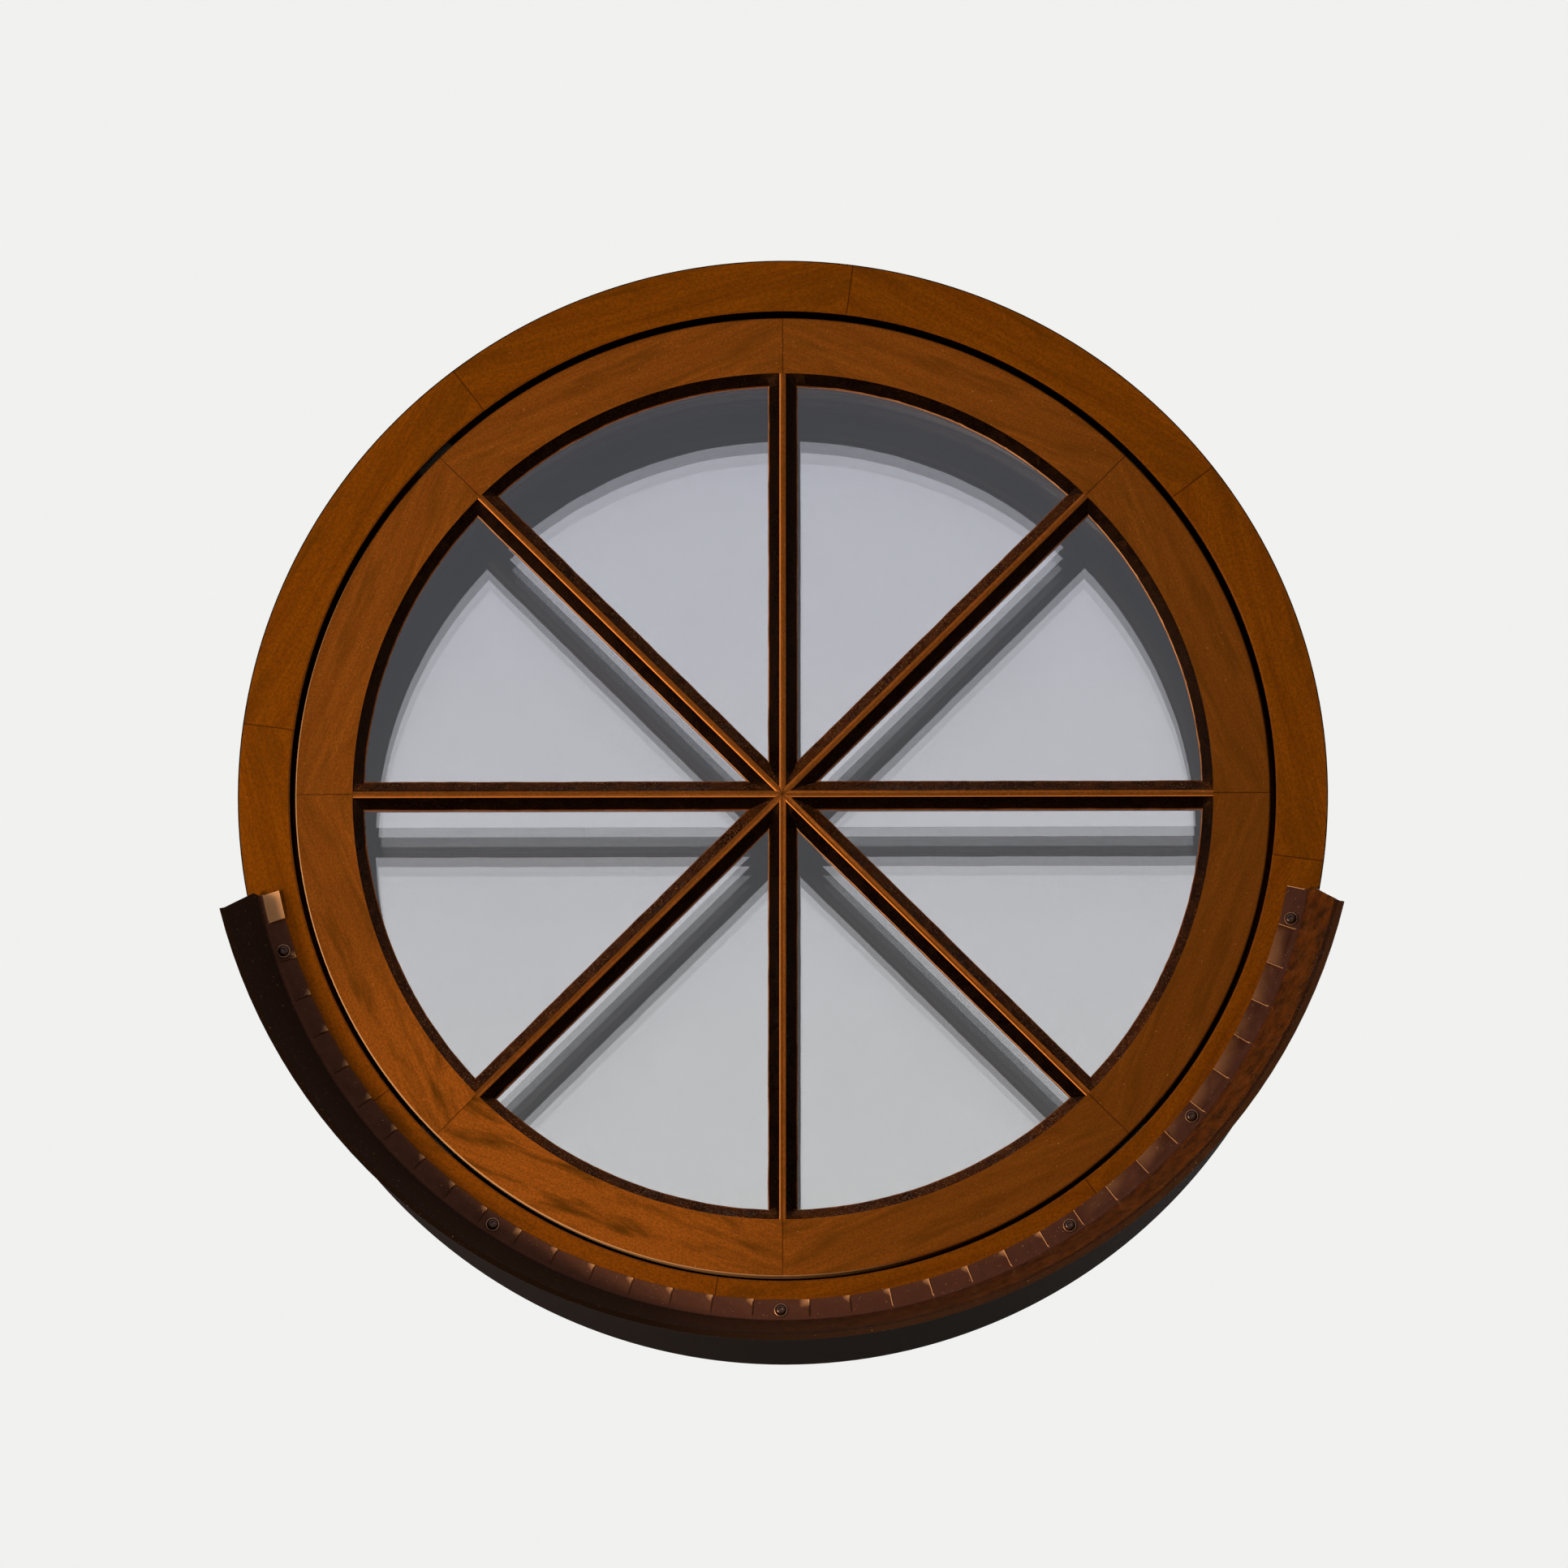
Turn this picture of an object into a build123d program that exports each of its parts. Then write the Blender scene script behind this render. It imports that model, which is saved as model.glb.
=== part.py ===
from build123d import *
from math import atan2, cos, degrees, radians, sin
import os

os.makedirs("parts", exist_ok=True)

# Whole window, in millimetres. Y runs through the wall, from outdoors to indoors, and Z is up.
lights = 8  # equal lights between the glazing bars
frame_radius = 400.0  # outside of the frame, where the masonry takes it
frame_depth = 170.0
full_turn = 360.0

# Frame ring, seen from its outer face inwards
frame_face = 38.0
seat_width = 26.0  # stop behind the sash, down to the lining
unit_rebate = 16.0  # step from the lining out to the sealed unit's rebate
frame_joint_turn = -7.5  # degrees from the bars to the frame's own joints
frame_arris = 1.2

# Sash ring
sash_gap = 4.0  # open joint between sash and frame
sash_setback = 5.5  # sash face behind frame face
sash_face = 42.0
sash_depth = 45.0
sash_arris = 1.0
joint_arris = 0.45  # small groove where two glued segments meet

# Glazing bars
nose_width = 5.2
nose_setback = 0.8  # nose behind sash face
bar_back_setback = 5.0  # bar's back edge ahead of the sash's back
bar_back_width = 7.0
moulding_flat = 3.0
moulding_quirk = 1.5
moulding_bulge = 1.8
tenon_width = 8.0
tenon_depth = 16.0
tenon_length = 20.0
tenon_setback = 4.0  # tenon behind the glass bed
glue_gap = 0.1

# Panes and putty
glass = 4.0
pane_gap = 1.2  # between a pane's edge and the timber
putty_width = 8.0
putty_depth = 8.6
putty_land = 0.3  # blunt front edge of the putty

# Glazing points, pushed into the rebate over the glass
points_per_light = 3
point_spread = 14.0  # degrees between points
point_sheet = 1.0
point_size = 12.0

# Sealed triple unit
unit_clearance = 4.0
unit_space = 16.0
tape_thickness = 2.0
tape_width = 10.0
spacer_width = 6.5
edge_seal_width = 4.0
unit_pane_names = ["unit_outer_pane", "unit_middle_pane", "unit_inner_pane"]
block_angles = [70.0, 110.0, 250.0, 290.0]
block_span = 10.0

# Glazing beads and the square brads through them
beads = 4
bead_depth = 14.0
bead_setback = 2.0  # bead ahead of the frame's inner face
bead_chamfer = 4.0
bead_gap = 0.3
pins = 12
pin_width = 1.6
pin_length = 26.0

# Weather seal, packers and screws between sash and frame
seal_gap = 1.5
seal_groove_inset = 8.0  # groove's outer wall inside the rebate wall
seal_foot_width = 4.0
seal_foot_depth = 4.0
seal_head_width = 6.0
packer_angles = [45.0, 135.0, 225.0, 315.0]
packer_span = 5.0
packer_depth = 20.0
sash_screw_inset = 8.0  # screw's axis outside the lining
sash_screw_radius = 2.5
sash_screw_head = 4.8
sash_screw_grip = 22.0  # length held in the sash
screw_clearance = 0.1

# Sill flashing
sheet = 0.7
flashing_start = 191.3  # left end, degrees from +X, anticlockwise seen from outdoors
flashing_end = 349.2
fold_setback = 9.0  # fold inside the frame's outside
apron_projection = 100.0
apron_rise = 25.0
end_straight = 15.0  # stretch of each end that isn't clipped
end_clip = 22.0
drip_length = 4.0
hem_gap = 0.5
hem_return = 3.0
flange_width = 3.0
tab_length = 15.0
tabs_each_side = 17
first_tab_end = 194.5  # the first tab is a short one
middle_tab_start = 266.8
middle_tab_end = 273.0
tab_slot = 0.5
tab_lift = 0.9  # raised corner of each tab's free edge

# Flashing screws
flashing_screw_angles = [197.9, 236.6, 269.8, 303.0, 321.0, 345.6]
flashing_screw_inset = 7.0  # screws inside the fold
screw_shank_radius = 1.75
screw_length = 24.0
washer_radius = 5.0
washer_thickness = 1.0
screw_head_radius = 3.6
screw_head_height = 2.4
recess_radius = 1.5
recess_depth = 1.4

# Radii that follow from these
step = full_turn / lights
rebate_radius = frame_radius - frame_face
lining_radius = rebate_radius - seat_width
unit_rebate_radius = lining_radius + unit_rebate
sash_radius = rebate_radius - sash_gap
light_radius = sash_radius - sash_face
sight_radius = light_radius - putty_width
unit_radius = unit_rebate_radius - unit_clearance
spacer_outer = unit_radius - edge_seal_width
spacer_inner = spacer_outer - spacer_width
seal_outer = rebate_radius - seal_groove_inset
seal_inner = seal_outer - seal_foot_width
sash_screw_circle = lining_radius + sash_screw_inset
sash_screw_cone = sash_screw_head - sash_screw_radius
fold_radius = frame_radius - fold_setback
drip_radius = fold_radius + apron_rise
flashing_screw_circle = fold_radius - flashing_screw_inset

# Depths behind the frame's outer face that follow from these
nose_front = sash_setback + nose_setback
glass_front = nose_front + putty_depth
glass_back = glass_front + glass
moulding_front = glass_back + moulding_flat
sash_back = sash_setback + sash_depth
bar_back = sash_back - bar_back_setback
tenon_front = glass_back + tenon_setback
sash_seat = sash_back + seal_gap
unit_back = frame_depth - bead_setback - bead_depth
unit_front = unit_back - 3 * glass - 2 * unit_space
unit_seat = unit_front - tape_thickness
lining_depth = unit_seat - sash_seat

# Half widths across a bar
nose_half = nose_width / 2
bar_half = nose_half + putty_width
bar_back_half = bar_back_width / 2

turning_axis = Axis((0, 0, 0), (0, -1, 0))  # angles grow anticlockwise, seen from outdoors


def y_at(depth):
    return depth - frame_depth / 2


def outward(angle):
    return Vector(cos(radians(angle)), 0, sin(radians(angle)))


def onward(angle):
    return Vector(-sin(radians(angle)), 0, cos(radians(angle)))


def radial_plane(angle):
    # Holds the window's axis: x is the radius, y runs indoors
    return Plane((0, 0, 0), x_dir=outward(angle), z_dir=onward(angle))


def face_plane(angle, depth):
    # Parallel to the window, facing outdoors, with x along the given angle
    return Plane((0, y_at(depth), 0), x_dir=outward(angle), z_dir=(0, -1, 0))


def cross_plane(angle, radius):
    # Square to a radius, looking at the hub: x is across, y runs indoors
    return Plane(outward(angle) * radius, x_dir=onward(angle), z_dir=-outward(angle))


def block(inner, outer, front, back, mode=Mode.ADD):
    with Locations(((inner + outer) / 2, y_at((front + back) / 2))):
        Rectangle(outer - inner, back - front, mode=mode)


def within(angle, start, span):
    return (angle - start) % full_turn < span


def arc_of(section, span):
    revolve(section, axis=turning_axis, revolution_arc=span)


def groove_joints(part):
    # A fine groove along each end of a segment's outer face
    front = part.faces().sort_by(Axis.Y)[0]
    chamfer(front.edges().filter_by(GeomType.LINE), joint_arris)


# Frame ring: one section, turned in glued segments

def frame_section(angle):
    with BuildSketch(radial_plane(angle)) as section:
        block(lining_radius, frame_radius, 0, frame_depth)
        block(lining_radius, rebate_radius, 0, sash_seat, Mode.SUBTRACT)
        block(lining_radius, unit_rebate_radius, unit_seat, frame_depth, Mode.SUBTRACT)
        block(seal_inner, seal_outer, sash_seat, sash_seat + seal_foot_depth, Mode.SUBTRACT)
        corner = section.vertices().sort_by_distance((rebate_radius, y_at(0)))[0]
        chamfer(corner, frame_arris)
    return section.sketch


def pin(angle, mode):
    with BuildSketch(cross_plane(angle, lining_radius + pin_length)) as brad:
        with Locations((0, y_at(unit_back + bead_depth / 2))):
            Rectangle(pin_width, pin_width)
    extrude(brad.sketch, amount=pin_length, mode=mode)


def pin_holes(start, span):
    for angle in pin_angles:
        if within(angle, start, span):
            pin(angle, Mode.SUBTRACT)


def flashing_screw_holes(start, span, radius):
    for angle in flashing_screw_angles:
        if within(angle, start, span):
            with Locations(Plane(outward(angle) * flashing_screw_circle + Vector(0, y_at(0), 0),
                                 z_dir=(0, -1, 0))):
                Hole(radius, depth=screw_length)


def sash_screw_plane(angle, depth):
    origin = outward(angle) * sash_screw_circle + Vector(0, y_at(depth), 0)
    return Plane(origin, z_dir=(0, 1, 0))


frame_starts = [frame_joint_turn + k * step for k in range(lights)]
pin_angles = [n * full_turn / pins for n in range(pins)]

for k, start in enumerate(frame_starts):
    with BuildPart() as frame_segment:
        arc_of(frame_section(start), step)
        groove_joints(frame_segment)
        with Locations(sash_screw_plane(start + step / 2, unit_seat)):
            CounterSinkHole(sash_screw_radius + screw_clearance, sash_screw_head + screw_clearance,
                            depth=lining_depth, counter_sink_angle=90)
        pin_holes(start, step)
        flashing_screw_holes(start, step, screw_shank_radius)
    frame_segment.part.label = f"frame_segment_{k + 1}"
    export_step(frame_segment.part, f"parts/frame_segment_{k + 1}.step")


# Sash ring: rebated outside for the panes, moulded inside, jointed on the bars

def moulding_line(back_radius):
    # From the sight line to the back of the moulding, inside the sash
    start = (sight_radius + moulding_quirk, y_at(moulding_front))
    end = (back_radius, y_at(bar_back))
    middle = ((start[0] + end[0]) / 2 - moulding_bulge, (start[1] + end[1]) / 2)
    return start, middle, end


def sash_section(angle):
    back_radius = sight_radius + bar_half - bar_back_half
    start, middle, end = moulding_line(back_radius)
    with BuildSketch(radial_plane(angle)) as section:
        with BuildLine():
            Polyline(
                end,
                (back_radius, y_at(sash_back)),
                (sash_radius, y_at(sash_back)),
                (sash_radius, y_at(sash_setback)),
                (light_radius, y_at(sash_setback)),
                (light_radius, y_at(glass_back)),
                (sight_radius, y_at(glass_back)),
                (sight_radius, y_at(moulding_front)),
                start,
            )
            ThreePointArc(start, middle, end)
        make_face()
        corner = section.vertices().sort_by_distance((sash_radius, y_at(sash_setback)))[0]
        chamfer(corner, sash_arris)
    return section.sketch


def tenon(angle, gap):
    # Bar's tenon, or with a gap the mortise that takes it
    with BuildSketch(cross_plane(angle, light_radius + tenon_length + gap)) as section:
        with Locations((0, y_at(tenon_front + tenon_depth / 2))):
            Rectangle(tenon_width + 2 * gap, tenon_depth + 2 * gap)
    with BuildPart() as solid:
        extrude(section.sketch, amount=tenon_length + 2 * putty_width)
    return solid.part


def glazing_points(start):
    # Thin steel triangles whose tips stand in the rebate wall
    with BuildPart() as points:
        for n in range(points_per_light):
            angle = start + step / 2 + (n - (points_per_light - 1) / 2) * point_spread
            with BuildSketch(face_plane(angle, glass_front)) as outline:
                tip = light_radius + point_size / 2
                Polygon((tip, 0), (tip - point_size, point_size / 2),
                        (tip - point_size, -point_size / 2), align=None)
            extrude(outline.sketch, amount=point_sheet)
    return points.part


sash_starts = [k * step for k in range(lights)]

for k, start in enumerate(sash_starts):
    with BuildPart() as sash_segment:
        arc_of(sash_section(start), step)
        groove_joints(sash_segment)
        for angle in (start, start + step):
            add(tenon(angle, glue_gap), mode=Mode.SUBTRACT)
        add(glazing_points(start), mode=Mode.SUBTRACT)
        for angle in [turn + step / 2 for turn in frame_starts]:
            if within(angle, start, step):
                with Locations(sash_screw_plane(angle, sash_back)):
                    Hole(sash_screw_radius, depth=sash_screw_grip)
    sash_segment.part.label = f"sash_segment_{k + 1}"
    export_step(sash_segment.part, f"parts/sash_segment_{k + 1}.step")


# Glazing bars: mitred together at the hub, scribed over the sash moulding, tenoned in its joints

def bar_section(angle, radius):
    across = bar_half - moulding_quirk
    middle = ((across + bar_back_half) / 2 + moulding_bulge, y_at((moulding_front + bar_back) / 2))
    with BuildSketch(cross_plane(angle, radius)) as section:
        with BuildLine():
            Polyline(
                (0, y_at(nose_front)),
                (nose_half, y_at(nose_front)),
                (nose_half, y_at(glass_back)),
                (bar_half, y_at(glass_back)),
                (bar_half, y_at(moulding_front)),
                (across, y_at(moulding_front)),
            )
            ThreePointArc((across, y_at(moulding_front)), middle, (bar_back_half, y_at(bar_back)))
            Line((bar_back_half, y_at(bar_back)), (0, y_at(bar_back)))
            mirror(about=Plane.YZ)
        make_face()
    return section.sketch


for k, angle in enumerate(sash_starts):
    with BuildPart() as sash_around:
        arc_of(sash_section(angle - step / 4), step / 2)
    with BuildPart() as glazing_bar:
        extrude(bar_section(angle, light_radius + putty_width), amount=light_radius + putty_width)
        with BuildSketch(face_plane(angle, sash_back)) as mitre:
            far = 2 * frame_radius
            reach = Vector(far, 0).rotate(Axis.Z, step / 2)
            Polygon((0, 0), (reach.X, reach.Y), (reach.X, -reach.Y), align=None)
        extrude(mitre.sketch, amount=sash_depth, mode=Mode.INTERSECT)
        add(sash_around.part, mode=Mode.SUBTRACT)
        add(tenon(angle, 0))
    glazing_bar.part.label = f"glazing_bar_{k + 1}"
    export_step(glazing_bar.part, f"parts/glazing_bar_{k + 1}.step")


# Panes and their putty: sectors between two bars

def light(start, depth, half_bar, radius):
    # Opening between two bars whose sides stand half_bar from their middle lines
    turn = radians(step / 2)
    apex = Vector(half_bar / sin(turn), 0).rotate(Axis.Z, step / 2)
    along = Vector(2 * radius, 0)
    beside = along.rotate(Axis.Z, step)
    corners = [apex, apex + along, apex + along + beside, apex + beside]
    with BuildSketch(face_plane(start, depth)) as outline:
        Circle(radius)
        Polygon(*[(corner.X, corner.Y) for corner in corners], align=None, mode=Mode.INTERSECT)
    return outline.sketch


putty_taper = -degrees(atan2(putty_width - putty_land, putty_depth))

for k, start in enumerate(sash_starts):
    with BuildPart() as pane:
        extrude(light(start, glass_back, nose_half + pane_gap, light_radius - pane_gap), amount=glass)
    pane.part.label = f"pane_{k + 1}"
    export_step(pane.part, f"parts/pane_{k + 1}.step")

    with BuildPart() as putty:
        extrude(light(start, glass_front, nose_half, light_radius), amount=putty_depth)
        extrude(light(start, glass_front, bar_half, sight_radius), amount=putty_depth,
                taper=putty_taper, mode=Mode.SUBTRACT)
        add(glazing_points(start), mode=Mode.SUBTRACT)
    putty.part.label = f"putty_{k + 1}"
    export_step(putty.part, f"parts/putty_{k + 1}.step")

with BuildPart() as all_points:
    for start in sash_starts:
        add(glazing_points(start))
all_points.part.label = "glazing_points"
export_step(all_points.part, "parts/glazing_points.step")


# Sealed unit: three panes, two spacers and the seal round their edge

for n, name in enumerate(unit_pane_names):
    back = unit_front + (n + 1) * glass + n * unit_space
    with BuildPart() as unit_pane:
        with BuildSketch(face_plane(0, back)):
            Circle(unit_radius)
        extrude(amount=glass)
    unit_pane.part.label = name
    export_step(unit_pane.part, f"parts/{name}.step")


def unit_ring(inner, outer, n):
    # Ring that fills the nth space between the unit's panes
    front = unit_front + (n + 1) * glass + n * unit_space
    with BuildSketch(radial_plane(0)) as section:
        block(inner, outer, front, front + unit_space)
    return section.sketch


for n, name in enumerate(["unit_outer_spacer", "unit_inner_spacer"]):
    with BuildPart() as spacer:
        arc_of(unit_ring(spacer_inner, spacer_outer, n), full_turn)
    spacer.part.label = name
    export_step(spacer.part, f"parts/{name}.step")

with BuildPart() as unit_edge_seal:
    for n in range(2):
        arc_of(unit_ring(spacer_outer, unit_radius, n), full_turn)
unit_edge_seal.part.label = "unit_edge_seal"
export_step(unit_edge_seal.part, "parts/unit_edge_seal.step")

with BuildPart() as bedding_tape:
    with BuildSketch(radial_plane(0)) as tape_section:
        block(unit_radius - tape_width, unit_radius, unit_seat, unit_front)
    arc_of(tape_section.sketch, full_turn)
bedding_tape.part.label = "bedding_tape"
export_step(bedding_tape.part, "parts/bedding_tape.step")

with BuildPart() as setting_blocks:
    for angle in block_angles:
        with BuildSketch(radial_plane(angle - block_span / 2)) as block_section:
            block(unit_radius, unit_rebate_radius, unit_front, unit_back)
        arc_of(block_section.sketch, block_span)
setting_blocks.part.label = "setting_blocks"
export_step(setting_blocks.part, "parts/setting_blocks.step")


# Beads that hold the unit from indoors, and the pins through them

bead_span = full_turn / beads

for n in range(beads):
    start = bead_span / 2 + n * bead_span
    with BuildPart() as glazing_bead:
        with BuildSketch(radial_plane(start)) as bead_section:
            block(lining_radius, unit_rebate_radius - bead_gap, unit_back, unit_back + bead_depth)
            corner = (lining_radius, y_at(unit_back + bead_depth))
            chamfer(bead_section.vertices().sort_by_distance(corner)[0], bead_chamfer)
        arc_of(bead_section.sketch, bead_span)
        pin_holes(start, bead_span)
    glazing_bead.part.label = f"glazing_bead_{n + 1}"
    export_step(glazing_bead.part, f"parts/glazing_bead_{n + 1}.step")

with BuildPart() as bead_pins:
    for angle in pin_angles:
        pin(angle, Mode.ADD)
bead_pins.part.label = "bead_pins"
export_step(bead_pins.part, "parts/bead_pins.step")


# Seal, packers and screws that hold the sash in the frame

with BuildPart() as sash_seal:
    with BuildSketch(radial_plane(0)) as seal_section:
        block(seal_inner, seal_outer, sash_seat, sash_seat + seal_foot_depth)
        head_middle = (seal_inner + seal_outer) / 2
        block(head_middle - seal_head_width / 2, head_middle + seal_head_width / 2, sash_back, sash_seat)
    arc_of(seal_section.sketch, full_turn)
sash_seal.part.label = "sash_seal"
export_step(sash_seal.part, "parts/sash_seal.step")

with BuildPart() as sash_packers:
    for angle in packer_angles:
        with BuildSketch(radial_plane(angle - packer_span / 2)) as packer_section:
            block(sash_radius, rebate_radius, sash_back - packer_depth, sash_back)
        arc_of(packer_section.sketch, packer_span)
sash_packers.part.label = "sash_packers"
export_step(sash_packers.part, "parts/sash_packers.step")

with BuildPart() as sash_screws:
    for start in frame_starts:
        with BuildSketch(radial_plane(start + step / 2)) as screw_section:
            with BuildLine():
                Polyline(
                    (sash_screw_circle, y_at(unit_seat)),
                    (sash_screw_circle + sash_screw_head, y_at(unit_seat)),
                    (sash_screw_circle + sash_screw_radius, y_at(unit_seat - sash_screw_cone)),
                    (sash_screw_circle + sash_screw_radius, y_at(sash_back - sash_screw_grip)),
                    (sash_screw_circle, y_at(sash_back - sash_screw_grip)),
                    close=True,
                )
            make_face()
        screw_axis = Axis(outward(start + step / 2) * sash_screw_circle, (0, 1, 0))
        revolve(screw_section.sketch, axis=screw_axis)
sash_screws.part.label = "sash_screws"
export_step(sash_screws.part, "parts/sash_screws.step")


# Sill flashing: one sheet, cut in tabs along the frame's face, folded out and hemmed at its drip

def flashing_section(angle):
    hem_back = 2 * sheet + hem_gap
    with BuildSketch(radial_plane(angle)) as section:
        with BuildLine():
            upper_side = Polyline(
                (fold_radius - flange_width, y_at(-sheet)),
                (fold_radius, y_at(-sheet)),
                (drip_radius, y_at(-apron_projection)),
                (drip_radius + drip_length, y_at(-apron_projection)),
                (drip_radius + drip_length, y_at(-apron_projection + hem_back)),
                (drip_radius + drip_length - hem_return, y_at(-apron_projection + hem_back)),
            )
            offset(upper_side, amount=sheet, kind=Kind.INTERSECTION, side=Side.LEFT)
        make_face()
    return section.sketch


def tab(start, end):
    # One tab: flat at its root, one corner of its free edge lifted
    half_turn = radians((end - start) / 2)
    angle = (start + end) / 2
    root_radius = (fold_radius - flange_width / 2) * cos(half_turn)
    tip_radius = fold_radius - tab_length
    with BuildPart() as plate:
        for radius, lift in ((root_radius, 0.0), (tip_radius, tab_lift)):
            half = radius * half_turn - tab_slot / 2
            with BuildSketch(cross_plane(angle, radius)):
                Polygon((-half, y_at(0)), (half, y_at(-lift)),
                        (half, y_at(-lift - sheet)), (-half, y_at(-sheet)), align=None)
        loft(ruled=True)
    return plate.part


def end_clip_cutter(angle, inwards):
    # Takes the outer corner off one end, inwards being 1 or -1 along the ring
    plane = Plane(outward(angle) * (fold_radius - apron_rise), x_dir=onward(angle) * inwards,
                  z_dir=outward(angle) * inwards)
    with BuildSketch(plane) as corner:
        beyond = 2 * drip_length
        run = apron_projection + beyond - end_straight
        reach = end_clip * run / (apron_projection - end_straight)
        indoors = (plane.to_local_coords(Vector(0, 1, 0)) - plane.to_local_coords(Vector(0, 0, 0))).Y
        Polygon((0, indoors * y_at(-end_straight)), (reach, indoors * y_at(-end_straight - run)),
                (-beyond, indoors * y_at(-end_straight - run)),
                (-beyond, indoors * y_at(-end_straight)), align=None)
    with BuildPart() as cutter:
        extrude(corner.sketch, amount=3 * apron_rise * inwards)
    return cutter.part


left_pitch = (middle_tab_start - first_tab_end) / (tabs_each_side - 1)
right_pitch = (flashing_end - middle_tab_end) / tabs_each_side
tab_edges = [flashing_start]
tab_edges += [first_tab_end + n * left_pitch for n in range(tabs_each_side)]
tab_edges += [middle_tab_end + n * right_pitch for n in range(tabs_each_side + 1)]

with BuildPart() as sill_flashing:
    arc_of(flashing_section(flashing_start), flashing_end - flashing_start)
    add(end_clip_cutter(flashing_start, 1), mode=Mode.SUBTRACT)
    add(end_clip_cutter(flashing_end, -1), mode=Mode.SUBTRACT)
    for start, end in zip(tab_edges, tab_edges[1:]):
        add(tab(start, end))
    for angle in flashing_screw_angles:
        origin = outward(angle) * flashing_screw_circle + Vector(0, y_at(-tab_lift - sheet), 0)
        with Locations(Plane(origin, z_dir=(0, -1, 0))):
            Hole(screw_shank_radius, depth=tab_lift + sheet)
sill_flashing.part.label = "sill_flashing"
export_step(sill_flashing.part, "parts/sill_flashing.step")


# Pan-head screws with washers, through the tabs into the frame

with BuildPart() as flashing_screws:
    seat = -sheet - tab_lift * 0.75  # washer's underside, just clear of the sloping tab
    for angle in flashing_screw_angles:
        with BuildSketch(radial_plane(angle)) as screw_section:
            with BuildLine():
                base = y_at(seat - washer_thickness)
                top = base - screw_head_height
                Polyline(
                    (flashing_screw_circle, top + recess_depth),
                    (flashing_screw_circle, y_at(screw_length + seat)),
                    (flashing_screw_circle + screw_shank_radius, y_at(screw_length + seat)),
                    (flashing_screw_circle + screw_shank_radius, y_at(seat)),
                    (flashing_screw_circle + washer_radius, y_at(seat)),
                    (flashing_screw_circle + washer_radius, base),
                    (flashing_screw_circle + screw_head_radius, base),
                    (flashing_screw_circle + screw_head_radius, top),
                    (flashing_screw_circle + recess_radius, top),
                    close=True,
                )
            make_face()
        screw_axis = Axis(outward(angle) * flashing_screw_circle, (0, 1, 0))
        revolve(screw_section.sketch, axis=screw_axis)
flashing_screws.part.label = "flashing_screws"
export_step(flashing_screws.part, "parts/flashing_screws.step")
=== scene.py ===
import math

import bmesh
import bpy
from mathutils import Matrix, Vector, noise


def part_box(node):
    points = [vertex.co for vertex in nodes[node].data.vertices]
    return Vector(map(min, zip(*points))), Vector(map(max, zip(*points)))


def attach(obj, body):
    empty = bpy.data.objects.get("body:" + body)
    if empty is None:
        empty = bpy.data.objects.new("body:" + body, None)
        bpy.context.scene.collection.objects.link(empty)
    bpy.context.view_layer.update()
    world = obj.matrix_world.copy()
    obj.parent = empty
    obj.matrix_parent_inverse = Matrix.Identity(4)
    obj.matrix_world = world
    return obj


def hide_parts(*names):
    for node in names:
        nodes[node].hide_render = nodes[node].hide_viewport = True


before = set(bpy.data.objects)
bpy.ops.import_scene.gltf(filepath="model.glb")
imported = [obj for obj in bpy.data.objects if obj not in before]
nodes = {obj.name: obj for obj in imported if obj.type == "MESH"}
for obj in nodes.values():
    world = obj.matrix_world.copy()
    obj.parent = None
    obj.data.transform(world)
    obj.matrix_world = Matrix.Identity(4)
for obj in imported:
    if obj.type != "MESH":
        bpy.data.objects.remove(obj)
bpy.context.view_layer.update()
mm = 0.001


def linearColour(hexColour):
    # sRGB hex to the linear values that a shader takes
    channels = [int(hexColour[n:n + 2], 16) / 255 for n in (1, 3, 5)]
    linear = [c / 12.92 if c <= 0.04045 else ((c + 0.055) / 1.055) ** 2.4 for c in channels]
    return (*linear, 1.0)


def addNode(tree, kind, inputs=None, **settings):
    # inputs are values or sockets, by the socket's name or number
    node = tree.nodes.new(kind)
    for name, value in settings.items():
        setattr(node, name, value)
    for name, value in (inputs or {}).items():
        if isinstance(value, bpy.types.NodeSocket):
            tree.links.new(value, node.inputs[name])
        else:
            node.inputs[name].default_value = value
    return node


def offAxis(tree, where, operation):
    # Bearing (NORMALIZE) or radius (LENGTH) of a place about the window's axis, which is Y
    flat = addNode(tree, "ShaderNodeVectorMath", {0: where, 1: (1.0, 0.0, 1.0)}, operation="MULTIPLY")
    result = addNode(tree, "ShaderNodeVectorMath", {0: flat.outputs[0]}, operation=operation)
    return result.outputs["Value" if operation == "LENGTH" else 0]


def newMaterial(name):
    material = bpy.data.materials.new(name)
    material.use_nodes = True
    tree = material.node_tree
    tree.nodes.clear()
    return material, tree


def dress(node, material):
    mesh = nodes[node].data if isinstance(node, str) else node.data
    mesh.materials.clear()
    mesh.materials.append(material)


def mergedCopy(node):
    # A CAD mesh is loose triangles, so its copy is merged and its flat areas become single faces
    form = bmesh.new()
    form.from_mesh(nodes[node].data)
    bmesh.ops.remove_doubles(form, verts=form.verts, dist=0.005 * mm)
    bmesh.ops.dissolve_limit(form, angle_limit=math.radians(0.5), verts=form.verts, edges=form.edges)
    return form


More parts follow.
